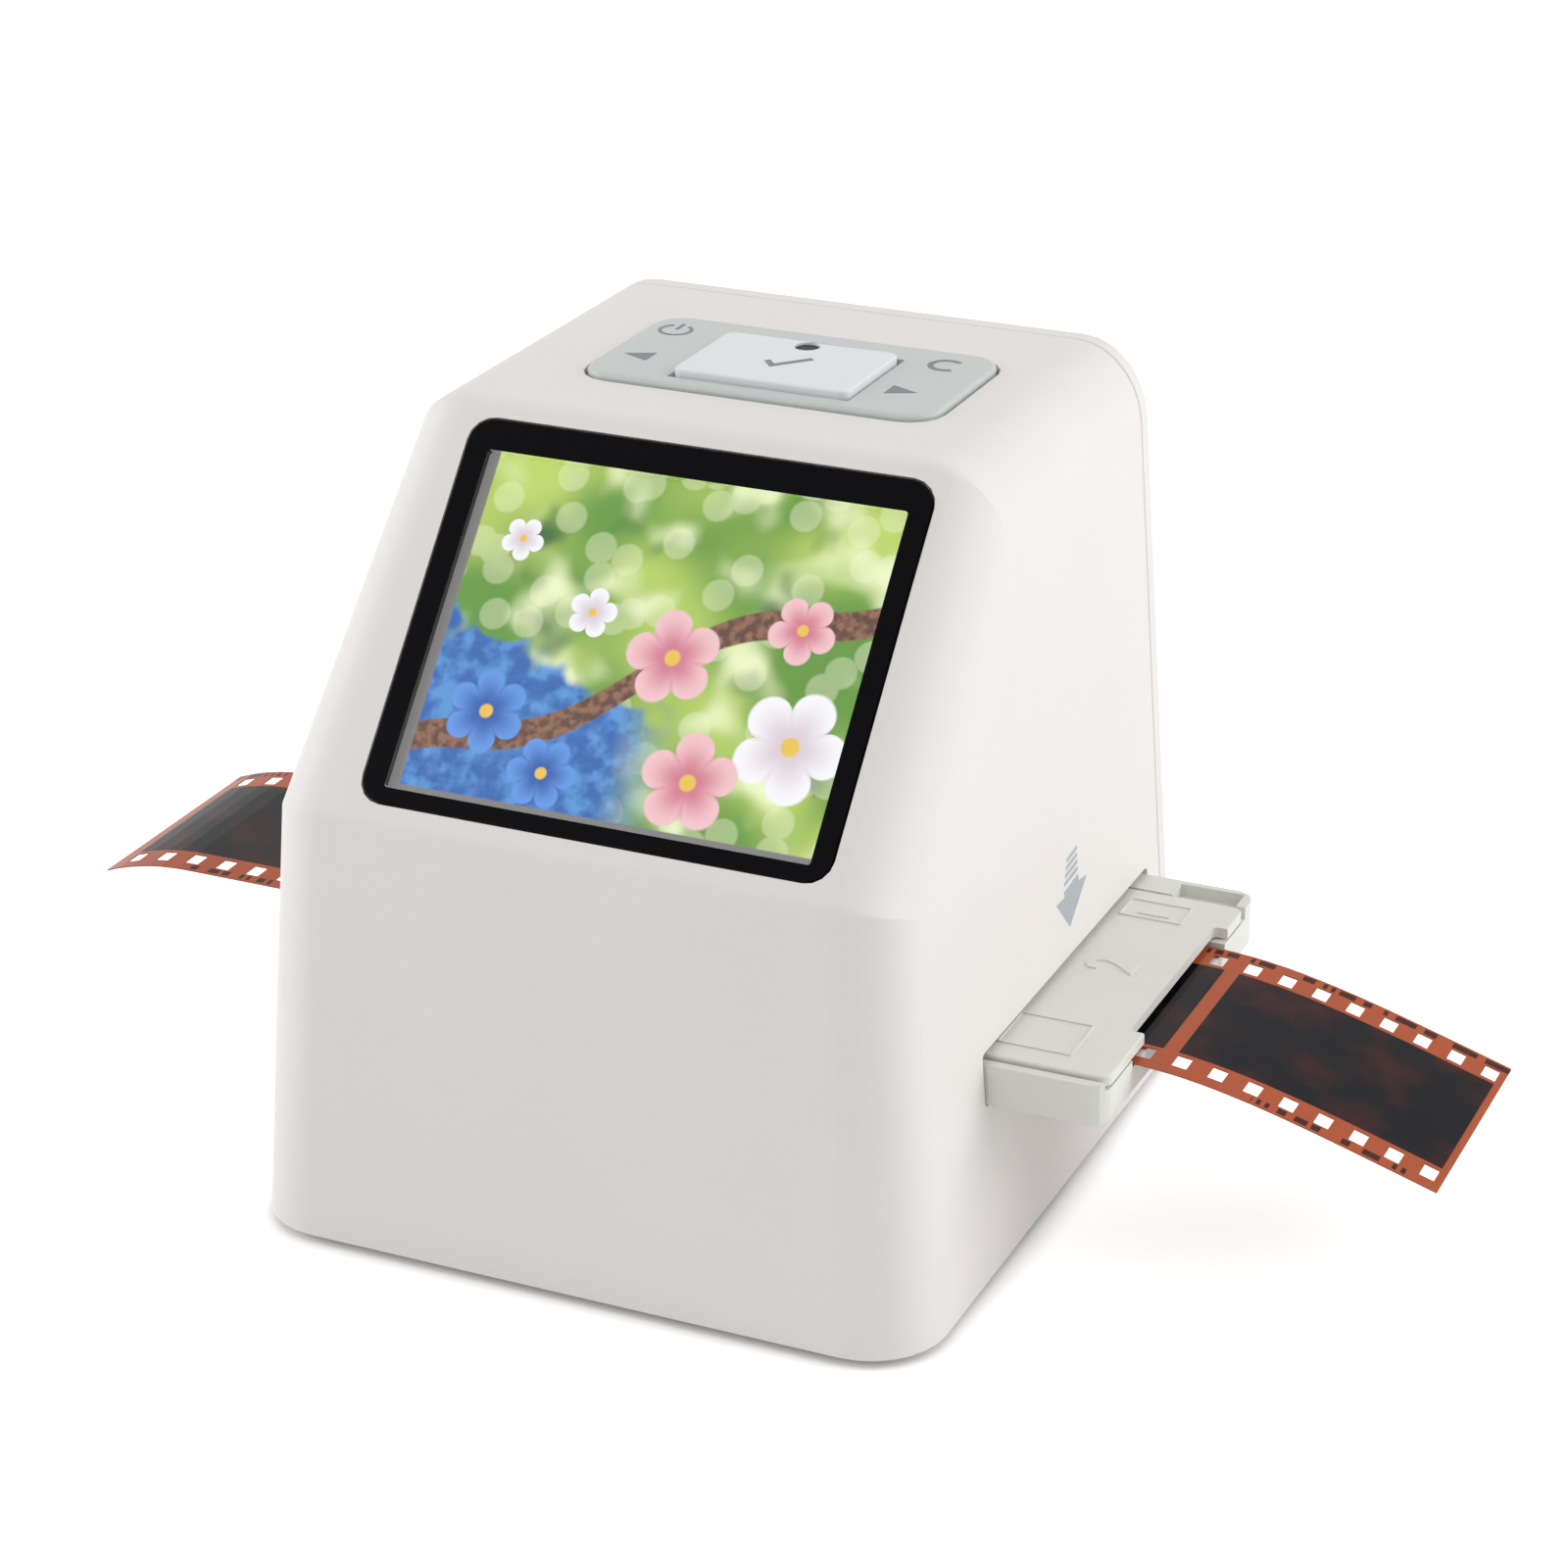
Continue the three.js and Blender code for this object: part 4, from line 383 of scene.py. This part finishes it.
def with_pond(tree, tones, spot, u, v):
    bank = maths(tree, "MULTIPLY_ADD", u, -0.25, 21.0)
    wobble = maths(tree, "MULTIPLY", clouds(tree, spot, 0.2, 0.3, 0.7), 4.0)
    below_bank = maths(tree, "ADD", maths(tree, "SUBTRACT", bank, v), wobble)
    pond = ranged(tree, below_bank, 0.5, 3.0)
    waves = clouds(tree, spot, 0.35, 0.4, 0.65, 3.0)
    ripples = mixed(tree, waves, linear(34, 96, 176), linear(84, 150, 214))
    left_part = ranged(tree, u, -2.0, 8.0, 1.0, 0.0)
    return mixed(tree, maths(tree, "MULTIPLY", pond, left_part), tones, ripples)


def with_branch(tree, tones, spot, u, v):
    bend = maths(tree, "MULTIPLY", maths(tree, "SINE", maths(tree, "MULTIPLY", u, 0.16)), 2.6)
    rising_line = maths(tree, "MULTIPLY_ADD", u, 0.52, 24.0)
    above_line = maths(tree, "SUBTRACT", maths(tree, "SUBTRACT", v, bend), rising_line)
    away = maths(tree, "ABSOLUTE", above_line)
    bark = mixed(tree, clouds(tree, spot, 0.9, 0.4, 0.6, 4.0), linear(92, 58, 40), linear(146, 100, 70))
    return mixed(tree, ranged(tree, away, 1.7, 2.1, 1.0, 0.0), tones, bark)


def picture_tones(tree, u, v):
    flat = node(tree, "ShaderNodeCombineXYZ")
    feed(tree, flat.inputs[0], u)
    feed(tree, flat.inputs[1], v)
    spot = flat.outputs[0]
    tones = with_branch(tree, with_pond(tree, garden(tree, spot), spot, u, v), spot, u, v)
    for blossom in BLOSSOMS:
        mask, shade = flower(tree, u, v, *blossom)
        tones = mixed(tree, mask, tones, shade)
    left_end, low_end = lit_left + strip_left, lit_low + strip_low
    shown = maths(tree, "MULTIPLY", ranged(tree, u, left_end - 0.1, left_end + 0.1),
                  ranged(tree, v, low_end - 0.1, low_end + 0.1))
    return mixed(tree, shown, STRIP_GREY, tones)


def picture_finish():
    material = bpy.data.materials.new("display_picture")
    material.use_nodes = True
    tree = material.node_tree
    shader = tree.nodes["Principled BSDF"]
    place = node(tree, "ShaderNodeTexCoord").outputs["Object"]
    feed(tree, shader.inputs["Emission Color"], picture_tones(tree, *display_place(tree, place)))
    shader.inputs["Emission Strength"].default_value = 1.0
    shader.inputs["Base Color"].default_value = (0.01, 0.01, 0.012, 1.0)
    shader.inputs["Roughness"].default_value = 0.35
    return material


PINK, DEEP_PINK = (246, 196, 200), (214, 120, 140)
WHITE, CREAM = (250, 248, 250), (222, 206, 214)
BLUE, DEEP_BLUE = (92, 150, 226), (30, 84, 168)
BLOSSOMS = [
    ((19.0, 33.5), 4.6, 5, 0.3, PINK, DEEP_PINK),
    ((-8.5, 31.5), 3.4, 5, 1.1, WHITE, CREAM),
    ((3.5, 27.5), 6.4, 5, 0.7, PINK, DEEP_PINK),
    ((21.5, 19.0), 7.6, 5, 0.1, WHITE, CREAM),
    ((10.0, 12.5), 6.6, 5, 0.9, PINK, DEEP_PINK),
    ((-18.5, 17.0), 5.6, 6, 0.4, BLUE, DEEP_BLUE),
    ((-9.0, 10.5), 4.8, 6, 0.0, BLUE, DEEP_BLUE),
    ((-20.5, 39.5), 3.0, 5, 0.2, WHITE, CREAM),
]
display_picture = picture_finish()
print("blossoms in the picture:", len(BLOSSOMS))

# %% [markdown]
# The moulded outer pieces come from the CAD solids, whose shapes are right but whose edges are knife
# sharp. A merged copy gets a small bevel along its sharp edges and smooth shading, as a real moulding
# has, and then stands for the CAD node. The weighted normals keep the big faces flat. The keys have
# rounded rims of their own, so only their steepest edges are taken as sharp.

# %% Moulded copies with softened edges
MERGE_REACH, FLAT_WITHIN = 3e-6, 0.6


def merged_copy(cad_node, name):
    """The CAD solid's mesh without its doubled points and without the cuts across its flat faces."""
    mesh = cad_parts[cad_node].data.copy()
    mesh.name = name
    form = bmesh.new()
    form.from_mesh(mesh)
    bmesh.ops.remove_doubles(form, verts=form.verts, dist=MERGE_REACH)
    bmesh.ops.dissolve_limit(form, angle_limit=math.radians(FLAT_WITHIN), verts=form.verts, edges=form.edges,
                             use_dissolve_boundaries=False)
    form.to_mesh(mesh)
    form.free()
    return mesh


def dressed(cad_node, name, body, material, edge, sharp):
    mesh = merged_copy(cad_node, name)
    mesh.materials.clear()
    mesh.materials.append(material)
    piece = bpy.data.objects.new(name, mesh)
    bpy.context.scene.collection.objects.link(piece)
    for face in mesh.polygons:
        face.use_smooth = True
    mesh.set_sharp_from_angle(angle=math.radians(sharp))
    bevel = piece.modifiers.new("edge", "BEVEL")
    bevel.width = edge * MM
    bevel.segments = 2
    bevel.limit_method = "ANGLE"
    bevel.angle_limit = math.radians(sharp)
    bevel.miter_outer = "MITER_ARC"
    flat = piece.modifiers.new("flat", "WEIGHTED_NORMAL")
    flat.keep_sharp = True
    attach(piece, body)
    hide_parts(cad_node)


SHARP, KEY_SHARP = 28, 50
MOULDINGS = [
    ("front_shell", "housing", "shell_plastic", shell_white, 0.25, SHARP),
    ("rear_cover", "housing", "shell_plastic", shell_white, 0.25, SHARP),
    ("base_plate", "housing", "shell_plastic", shell_white, 0.15, SHARP),
    ("rocker_plate", "rocker", "key_plastic", key_grey, 0.08, KEY_SHARP),
    ("ok_button", "ok_key", "ok_plastic", ok_white, 0.08, KEY_SHARP),
    ("holder_base", "film_holder", "tray_plastic", tray_ivory, 0.2, SHARP),
    ("holder_cover", "film_holder", "tray_plastic", tray_ivory, 0.15, SHARP),
]
for cad_node, body, slot_name, material, edge, sharp in MOULDINGS:
    dressed(cad_node, cad_node + "_moulding", body, material, edge, sharp)
print("moulded pieces:", len(MOULDINGS))

# %% [markdown]
# The display's cover is a clear pane in a black border. They are two pieces: the border is a ring
# between two rounded outlines, and the pane fills its opening, flush with it. The pane stays a fiftieth
# of a millimetre clear of the ring all round.

# %% Display window
NEW_SHARP = 30


def on_slope(form):
    place = Matrix((Vector((1, 0, 0)), slope_up, slope_out)).transposed().to_4x4()
    bmesh.ops.transform(form, matrix=Matrix.Translation(slope_foot) @ place, verts=form.verts)


def rounded_plate(width, depth, radius, low, high, centre=(0.0, 0.0), steps=6):
    """A flat plate with round corners: one box whose four upright edges are bevelled, in mm."""
    form = bmesh.new()
    bmesh.ops.create_cube(form, size=1.0)
    bmesh.ops.scale(form, vec=(width * MM, depth * MM, (high - low) * MM), verts=form.verts)
    upright = [e for e in form.edges if abs(e.verts[0].co.z - e.verts[1].co.z) > 1e-9]
    bmesh.ops.bevel(form, geom=upright, offset=radius * MM, offset_type="OFFSET", segments=steps,
                    profile=0.5, affect="EDGES", material=-1)
    middle = Vector((centre[0], centre[1], (low + high) / 2)) * MM
    bmesh.ops.translate(form, vec=middle, verts=form.verts)
    return form


def piece_from(form, name, body, material):
    bmesh.ops.recalc_face_normals(form, faces=form.faces)
    mesh = bpy.data.meshes.new(name)
    form.to_mesh(mesh)
    form.free()
    mesh.materials.append(material)
    for face in mesh.polygons:
        face.use_smooth = True
    mesh.set_sharp_from_angle(angle=math.radians(NEW_SHARP))
    piece = bpy.data.objects.new(name, mesh)
    bpy.context.scene.collection.objects.link(piece)
    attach(piece, body)
    return piece


window_width, window_height, window_centre = 62.3, 50.9, 28.45
window_corner, window_thickness = 3.0, 1.1
lit_size = (lit_right - lit_left, lit_high - lit_low)
lit_centre = ((lit_left + lit_right) / 2, (lit_low + lit_high) / 2)
lit_corner, pane_gap = 0.4, 0.02
pane_size = [side - 2 * pane_gap for side in lit_size]
clear = rounded_plate(*pane_size, lit_corner, -window_thickness, 0.0, lit_centre)
on_slope(clear)
glass = piece_from(clear, "display_glass", "housing", glass_clear)

border_black = finish("border_black", (8, 8, 11), 0.35, grain=2.0, depth=0.0002, patch=0.03,
                      Specular_IOR_Level=0.04)


def raised(form, low, high):
    """Gives a flat sheet that lies at height 0 its place and thickness, from low to high, in mm."""
    bmesh.ops.translate(form, vec=Vector((0, 0, low * MM)), verts=form.verts)
    grown = bmesh.ops.extrude_face_region(form, geom=form.faces[:])["geom"]
    lifted = [v for v in grown if isinstance(v, bmesh.types.BMVert)]
    bmesh.ops.translate(form, vec=Vector((0, 0, (high - low) * MM)), verts=lifted)
    return form


def rounded_loop(form, size, corner, centre, steps=6):
    """The edges of a rectangle with round corners, lying flat, in mm."""
    spots = []
    for sx, sy, k in ((1, -1, 0), (1, 1, 1), (-1, 1, 2), (-1, -1, 3)):
        for i in range(steps + 1):
            angle = math.radians(90 * (k - 1) + 90 / steps * i)
            x = centre[0] + sx * (size[0] / 2 - corner) + corner * math.cos(angle)
            y = centre[1] + sy * (size[1] / 2 - corner) + corner * math.sin(angle)
            spots.append(form.verts.new(Vector((x, y, 0)) * MM))
    return [form.edges.new(pair) for pair in zip(spots, spots[1:] + spots[:1])]


def framed_plate(outer, inner, radius, inner_radius, low, high, centre, inner_centre):
    """A flat ring between two rounded outlines: the sheet is filled, then given its thickness."""
    form = bmesh.new()
    edges = rounded_loop(form, outer, radius, centre)
    edges += rounded_loop(form, inner, inner_radius, inner_centre)
    bmesh.ops.triangle_fill(form, use_beauty=True, use_dissolve=False, edges=edges)
    return raised(form, low, high)


ring = framed_plate((window_width, window_height), lit_size, window_corner, lit_corner,
                    -window_thickness, 0.0, (0.0, window_centre), lit_centre)
on_slope(ring)
border = piece_from(ring, "display_border", "housing", border_black)
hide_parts("display_window")
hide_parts("display_window")
print("display window in mm:", window_width, window_height)
print("lit part in mm:", [round(side, 1) for side in lit_size])

# %% [markdown]
# The signs on the rocker plate are printed: a power sign, two small triangles and an open ring. The OK
# key has a tick. A matt black plate near the top of its status light's hole is painted shade: it makes
# the hole as dark as its shadow. Each sign is a very thin plate just proud of its key, so it moves with
# it. A stroke with a round path is made by spinning a short edge round the sign's centre, and the flat
# shapes get their thickness by extruding one face.

# %% Printed signs
sign_grey = finish("sign_grey", (118, 126, 130), 0.45, grain=0.3, depth=0.004)


def arc_sheet(centre, radius, width, start, sweep, steps=24):
    form = bmesh.new()
    ends = []
    for r in (radius - width / 2, radius + width / 2):
        spot = (centre[0] + r * math.cos(start), centre[1] + r * math.sin(start), 0)
        ends.append(form.verts.new(Vector(spot) * MM))
    edge = form.edges.new(ends)
    bmesh.ops.spin(form, geom=[edge, *ends], cent=Vector((centre[0], centre[1], 0)) * MM, axis=(0, 0, 1),
                   dvec=(0, 0, 0), angle=sweep, steps=steps, use_merge=False, use_duplicate=False)
    return form


def sheet_of(points):
    form = bmesh.new()
    form.faces.new([form.verts.new(Vector((x, y, 0)) * MM) for x, y in points])
    return form


def sign(name, form, body, low, high, material=sign_grey):
    piece_from(raised(form, low, high), name, body, material)


plate_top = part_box("rocker_plate")[1].z / MM
SIGN_SUNK, SIGN_PROUD = 0.03, 0.04
low, high = plate_top - SIGN_SUNK, plate_top + SIGN_PROUD
power_x, power_y = -19.9, 24.2
ring = arc_sheet((power_x, power_y), 2.1, 0.5, math.radians(120), math.radians(300))
sign("sign_power_ring", ring, "rocker", low, high)
bar_half, bar_foot, bar_tip = 0.25, power_y + 0.2, power_y + 2.7
bar = [(power_x - bar_half, bar_foot), (power_x + bar_half, bar_foot), (power_x + bar_half, bar_tip),
       (power_x - bar_half, bar_tip)]
sign("sign_power_bar", sheet_of(bar), "rocker", low, high)
left_x, left_y = -19.4, 12.6
left_sign = [(left_x - 2.2, left_y), (left_x + 1.6, left_y - 1.7), (left_x + 1.6, left_y + 1.7)]
sign("sign_left", sheet_of(left_sign), "rocker", low, high)
right_x, right_y = 16.9, 12.6
right_sign = [(right_x - 1.6, right_y - 1.7), (right_x + 2.2, right_y), (right_x - 1.6, right_y + 1.7)]
sign("sign_right", sheet_of(right_sign), "rocker", low, high)
turn_x, turn_y = 18.2, 24.4
turned = arc_sheet((turn_x, turn_y), 2.0, 0.75, math.radians(50), math.radians(260))
sign("sign_turn", turned, "rocker", low, high)
ok_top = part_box("ok_button")[1].z / MM
tick = [(-2.6, 14.2), (-0.9, 12.1), (3.2, 16.8), (2.5, 17.4), (-0.9, 13.5), (-2.0, 14.8)]
sign("sign_tick", sheet_of(tick), "ok_key", ok_top - 0.03, ok_top + 0.03)
# Painted shade: a matt black plate just below the OK key's top, inside the status light's hole, stands for
# the shadow in the hole.
shade_plate_width, shade_plate_corner, shade_plate_y = 3.3, 1.64, 21.85
shade_plate_low, shade_plate_high = ok_top - 0.6, ok_top - 0.35
hole_shade_form = rounded_plate(shade_plate_width, shade_plate_width, shade_plate_corner, shade_plate_low, shade_plate_high, (0.0, shade_plate_y), steps=8)
piece_from(hole_shade_form, "ok_hole_painted_shade", "ok_key", matt_black)

# %% [markdown]
# A grey arrow on the right side shows which way the tray goes in. It is printed on the drawn-in side,
# so it is laid out flat in Y and Z, and each corner is moved out to the side's own slanting plane.

# %% Arrow on the side
print_grey = finish("print_grey", (172, 180, 188), 0.4, grain=0.3, depth=0.004)
side_foot, side_lean, body_height = 44.45, 7.3, 101.6
PRINT_SUNK, PRINT_THICK = 0.02, 0.06


def side_place(y, z, proud):
    return Vector((side_foot - side_lean * z / body_height + proud, y, z)) * MM


def side_print(name, points):
    form = bmesh.new()
    face = form.faces.new([form.verts.new(side_place(y, z, -PRINT_SUNK)) for y, z in points])
    grown = bmesh.ops.extrude_face_region(form, geom=[face])["geom"]
    lifted = [v for v in grown if isinstance(v, bmesh.types.BMVert)]
    bmesh.ops.translate(form, vec=Vector((PRINT_THICK * MM, 0, 0)), verts=lifted)
    piece_from(form, name, "housing", print_grey)


side_print("arrow_head", [(10.3, 34.0), (16.9, 38.5), (14.0, 38.9), (13.9, 39.9), (8.9, 39.4), (9.0, 38.6),
                          (6.0, 38.7)])
first_stripe, stripe_step, stripe_shrink = 40.1, 0.95, 0.42
stripe_left, stripe_right = 9.0, 13.9
for k in range(4):
    foot = first_stripe + stripe_step * k
    start = stripe_left + stripe_shrink * k
    stripe = [(start, foot), (stripe_right, foot + 0.35), (stripe_right, foot + 0.9),
              (start + 0.1, foot + 0.55)]
    side_print(f"arrow_stripe_{k + 1}", stripe)
print("arrow is printed on the slanting side")

# %% [markdown]
# The tray's cover is moulded with a numeral for the frame in the light, an outlined field at the front
# and a small triangle in a field at the back. They stand a fifth of a millimetre proud in the cover's
# own colour.

# %% Raised marks on the tray
tray_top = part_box("holder_cover")[1].z / MM
mark_low, mark_high = tray_top - 0.05, tray_top + 0.2
OUTLINE_WIDTH = 0.25


def tray_frame(name, x0, y0, x1, y1):
    """A raised outline round a rectangle, made as one flat ring."""
    outer = (x1 - x0, y1 - y0)
    inner = [side - 2 * OUTLINE_WIDTH for side in outer]
    centre = ((x0 + x1) / 2, (y0 + y1) / 2)
    ring = framed_plate(outer, inner, 0.3, 0.15, mark_low, mark_high, centre, centre)
    piece_from(ring, name, "film_holder", tray_ivory)


tray_frame("tray_field", 41.8, -14.9, 51.7, -6.2)
tray_frame("tray_arrow_field", 43.2, 25.6, 51.9, 30.9)
arrow = sheet_of([(45.4, 26.8), (49.8, 26.8), (47.6, 29.8)])
sign("tray_arrow", arrow, "film_holder", mark_low, mark_high, tray_ivory)


def numeral(name, text, size, place):
    """A plain digit as a thin mesh, lying on the tray cover and read from the right-hand side."""
    curve = bpy.data.curves.new(name, "FONT")
    curve.body = text
    curve.size = size * MM
    curve.align_x = "CENTER"
    curve.align_y = "CENTER"
    curve.extrude = (mark_high - mark_low) / 2 * MM
    holder = bpy.data.objects.new(name, curve)
    bpy.context.scene.collection.objects.link(holder)
    bpy.context.view_layer.update()
    mesh = bpy.data.meshes.new_from_object(holder.evaluated_get(bpy.context.evaluated_depsgraph_get()))
    bpy.data.objects.remove(holder)
    form = bmesh.new()
    form.from_mesh(mesh)
    bmesh.ops.remove_doubles(form, verts=form.verts, dist=1e-6)
    bmesh.ops.rotate(form, cent=(0, 0, 0), matrix=Matrix.Rotation(math.pi / 2, 3, "Z"), verts=form.verts)
    bmesh.ops.translate(form, vec=Vector(place) * MM, verts=form.verts)
    piece_from(form, name, "film_holder", tray_ivory)


numeral("tray_numeral", "2", 9.5, (48.1, 11.0, (mark_low + mark_high) / 2))
print("tray marks stand", round(mark_high - tray_top, 2), "mm proud")

# %% [markdown]
# The pieces that keep their CAD shape get their finish in their material slots: the film, the display
# panel, the screws, the boards, the sockets, the lens and the rest of the inside.

# %% Finishes of the carried-over pieces
CARRIED = {
    "film_strip": film_brown, "lcd_panel": display_picture, "lcd_backlight": milk_white,
    "lcd_frame": matt_black, "lcd_flex": ribbon_amber, "rocker_flex_ring": matt_black,
    "key_board": board_green, "status_led": matt_black, "tray_track": matt_black,
    "film_gate": matt_black, "detent_spring": screw_steel, "backlight_housing": milk_white,
    "led_board": board_green, "diffuser_plate": milk_white, "camera_tower": matt_black,
    "lens_barrel": barrel_black, "lens_front_element": lens_glass, "lens_rear_element": lens_glass,
    "infrared_filter": lens_glass, "sensor_board": board_green, "image_sensor": matt_black,
    "main_board": board_green, "sd_card_socket": plated_steel, "usb_socket": plated_steel,
    "av_jack": matt_black, "holder_hinge_pin": screw_steel,
}
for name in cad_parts:
    if "screw" in name:
        CARRIED[name] = screw_steel
    if name.startswith("foot_"):
        CARRIED[name] = foot_rubber
    if name.startswith("switch_"):
        CARRIED[name] = plated_steel
for name, material in CARRIED.items():
    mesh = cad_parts[name].data
    mesh.materials.clear()
    mesh.materials.append(material)
left_out = set(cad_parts) - set(CARRIED) - {m[0] for m in MOULDINGS} - {"display_window"}
print("carried-over pieces:", len(CARRIED), "and without a finish:", sorted(left_out))

# %% [markdown]
# A plain pale floor and a white surround. The floor keeps the shadow: it is lit like the object, and
# only camera and mirror rays see it a little brighter, so that its far end is white. That extra light
# fades right beside the housing, which leaves the thin dark line of a thing that stands on a table. The
# surround is white for the same rays, and lights the object more weakly than that.

# %% Floor and surround
floor_form = bmesh.new()
bmesh.ops.create_grid(floor_form, x_segments=1, y_segments=1, size=6.0)
bmesh.ops.translate(floor_form, vec=(0, 0, cad_box[0].z - 0.0002), verts=floor_form.verts)
floor_mesh = bpy.data.meshes.new("floor")
floor_form.to_mesh(floor_mesh)
floor_form.free()
floor = bpy.data.objects.new("floor", floor_mesh)
bpy.context.scene.collection.objects.link(floor)

FLOOR_GLOW = 0.55
CONTACT_REACH = 4.0
AMBIENT = 0.46


def seen_rays(tree):
    """One for camera, mirror and see-through rays, and nothing for the rays that light things."""
    rays = node(tree, "ShaderNodeLightPath")
    return maths(tree, "MAXIMUM", rays.outputs["Is Camera Ray"],
                 maths(tree, "MAXIMUM", rays.outputs["Is Glossy Ray"], rays.outputs["Is Transmission Ray"]))


def floor_finish():
    material = bpy.data.materials.new("floor_white")
    material.use_nodes = True
    tree = material.node_tree
    lit = tree.nodes["Principled BSDF"]
    lit.inputs["Base Color"].default_value = linear(246, 246, 246)
    lit.inputs["Roughness"].default_value = 0.9
    lit.inputs["Specular IOR Level"].default_value = 0.1
    open_sky = node(tree, "ShaderNodeAmbientOcclusion")
    open_sky.inputs["Distance"].default_value = CONTACT_REACH * MM
    share = maths(tree, "POWER", open_sky.outputs["AO"], 1.5)
    shown = maths(tree, "MULTIPLY", seen_rays(tree), share)
    glow = node(tree, "ShaderNodeEmission")
    feed(tree, glow.inputs["Strength"], maths(tree, "MULTIPLY", shown, FLOOR_GLOW))
    both = node(tree, "ShaderNodeAddShader")
    feed(tree, both.inputs[0], lit.outputs[0])
    feed(tree, both.inputs[1], glow.outputs[0])
    feed(tree, tree.nodes["Material Output"].inputs["Surface"], both.outputs[0])
    return material


floor_mesh.materials.append(floor_finish())

world = bpy.data.worlds.new("surround")
world.use_nodes = True
bpy.context.scene.world = world
tree = world.node_tree
strength = maths(tree, "MULTIPLY_ADD", seen_rays(tree), 1.0 - AMBIENT, AMBIENT)
tree.nodes["Background"].inputs["Color"].default_value = (1.0, 1.0, 1.0, 1.0)
feed(tree, tree.nodes["Background"].inputs["Strength"], strength)
print("floor lies at", round(floor_mesh.vertices[0].co.z / MM, 2), "mm")

# %% [markdown]
# Soft boxes: a large one high on the right, which makes the right side the brightest face, a weaker one
# over the top, a faint one at the front so that the display side stays a little darker, and one low on
# the left that brightens the rounded left edges, as in the photograph.

# %% Lights
LIT_MIDDLE = Vector((0, 0, 0.05))


def soft_box(name, place, size, watts):
    lamp = bpy.data.lights.new(name, "AREA")
    lamp.shape = "SQUARE"
    lamp.size = size
    lamp.energy = watts
    box = bpy.data.objects.new(name, lamp)
    bpy.context.scene.collection.objects.link(box)
    box.location = place
    box.rotation_mode = "QUATERNION"
    box.rotation_quaternion = (LIT_MIDDLE - Vector(place)).to_track_quat("-Z", "Y")


soft_box("right_box", (1.25, 0.5, 0.62), 1.3, 12.0)
soft_box("top_box", (-0.1, 0.1, 1.2), 1.2, 2.1)
soft_box("front_box", (-0.95, -0.95, 0.7), 0.9, 4.6)
soft_box("left_box", (-1.3, -0.15, 0.32), 0.5, 3.8)
bpy.context.scene.view_settings.view_transform = "Standard"
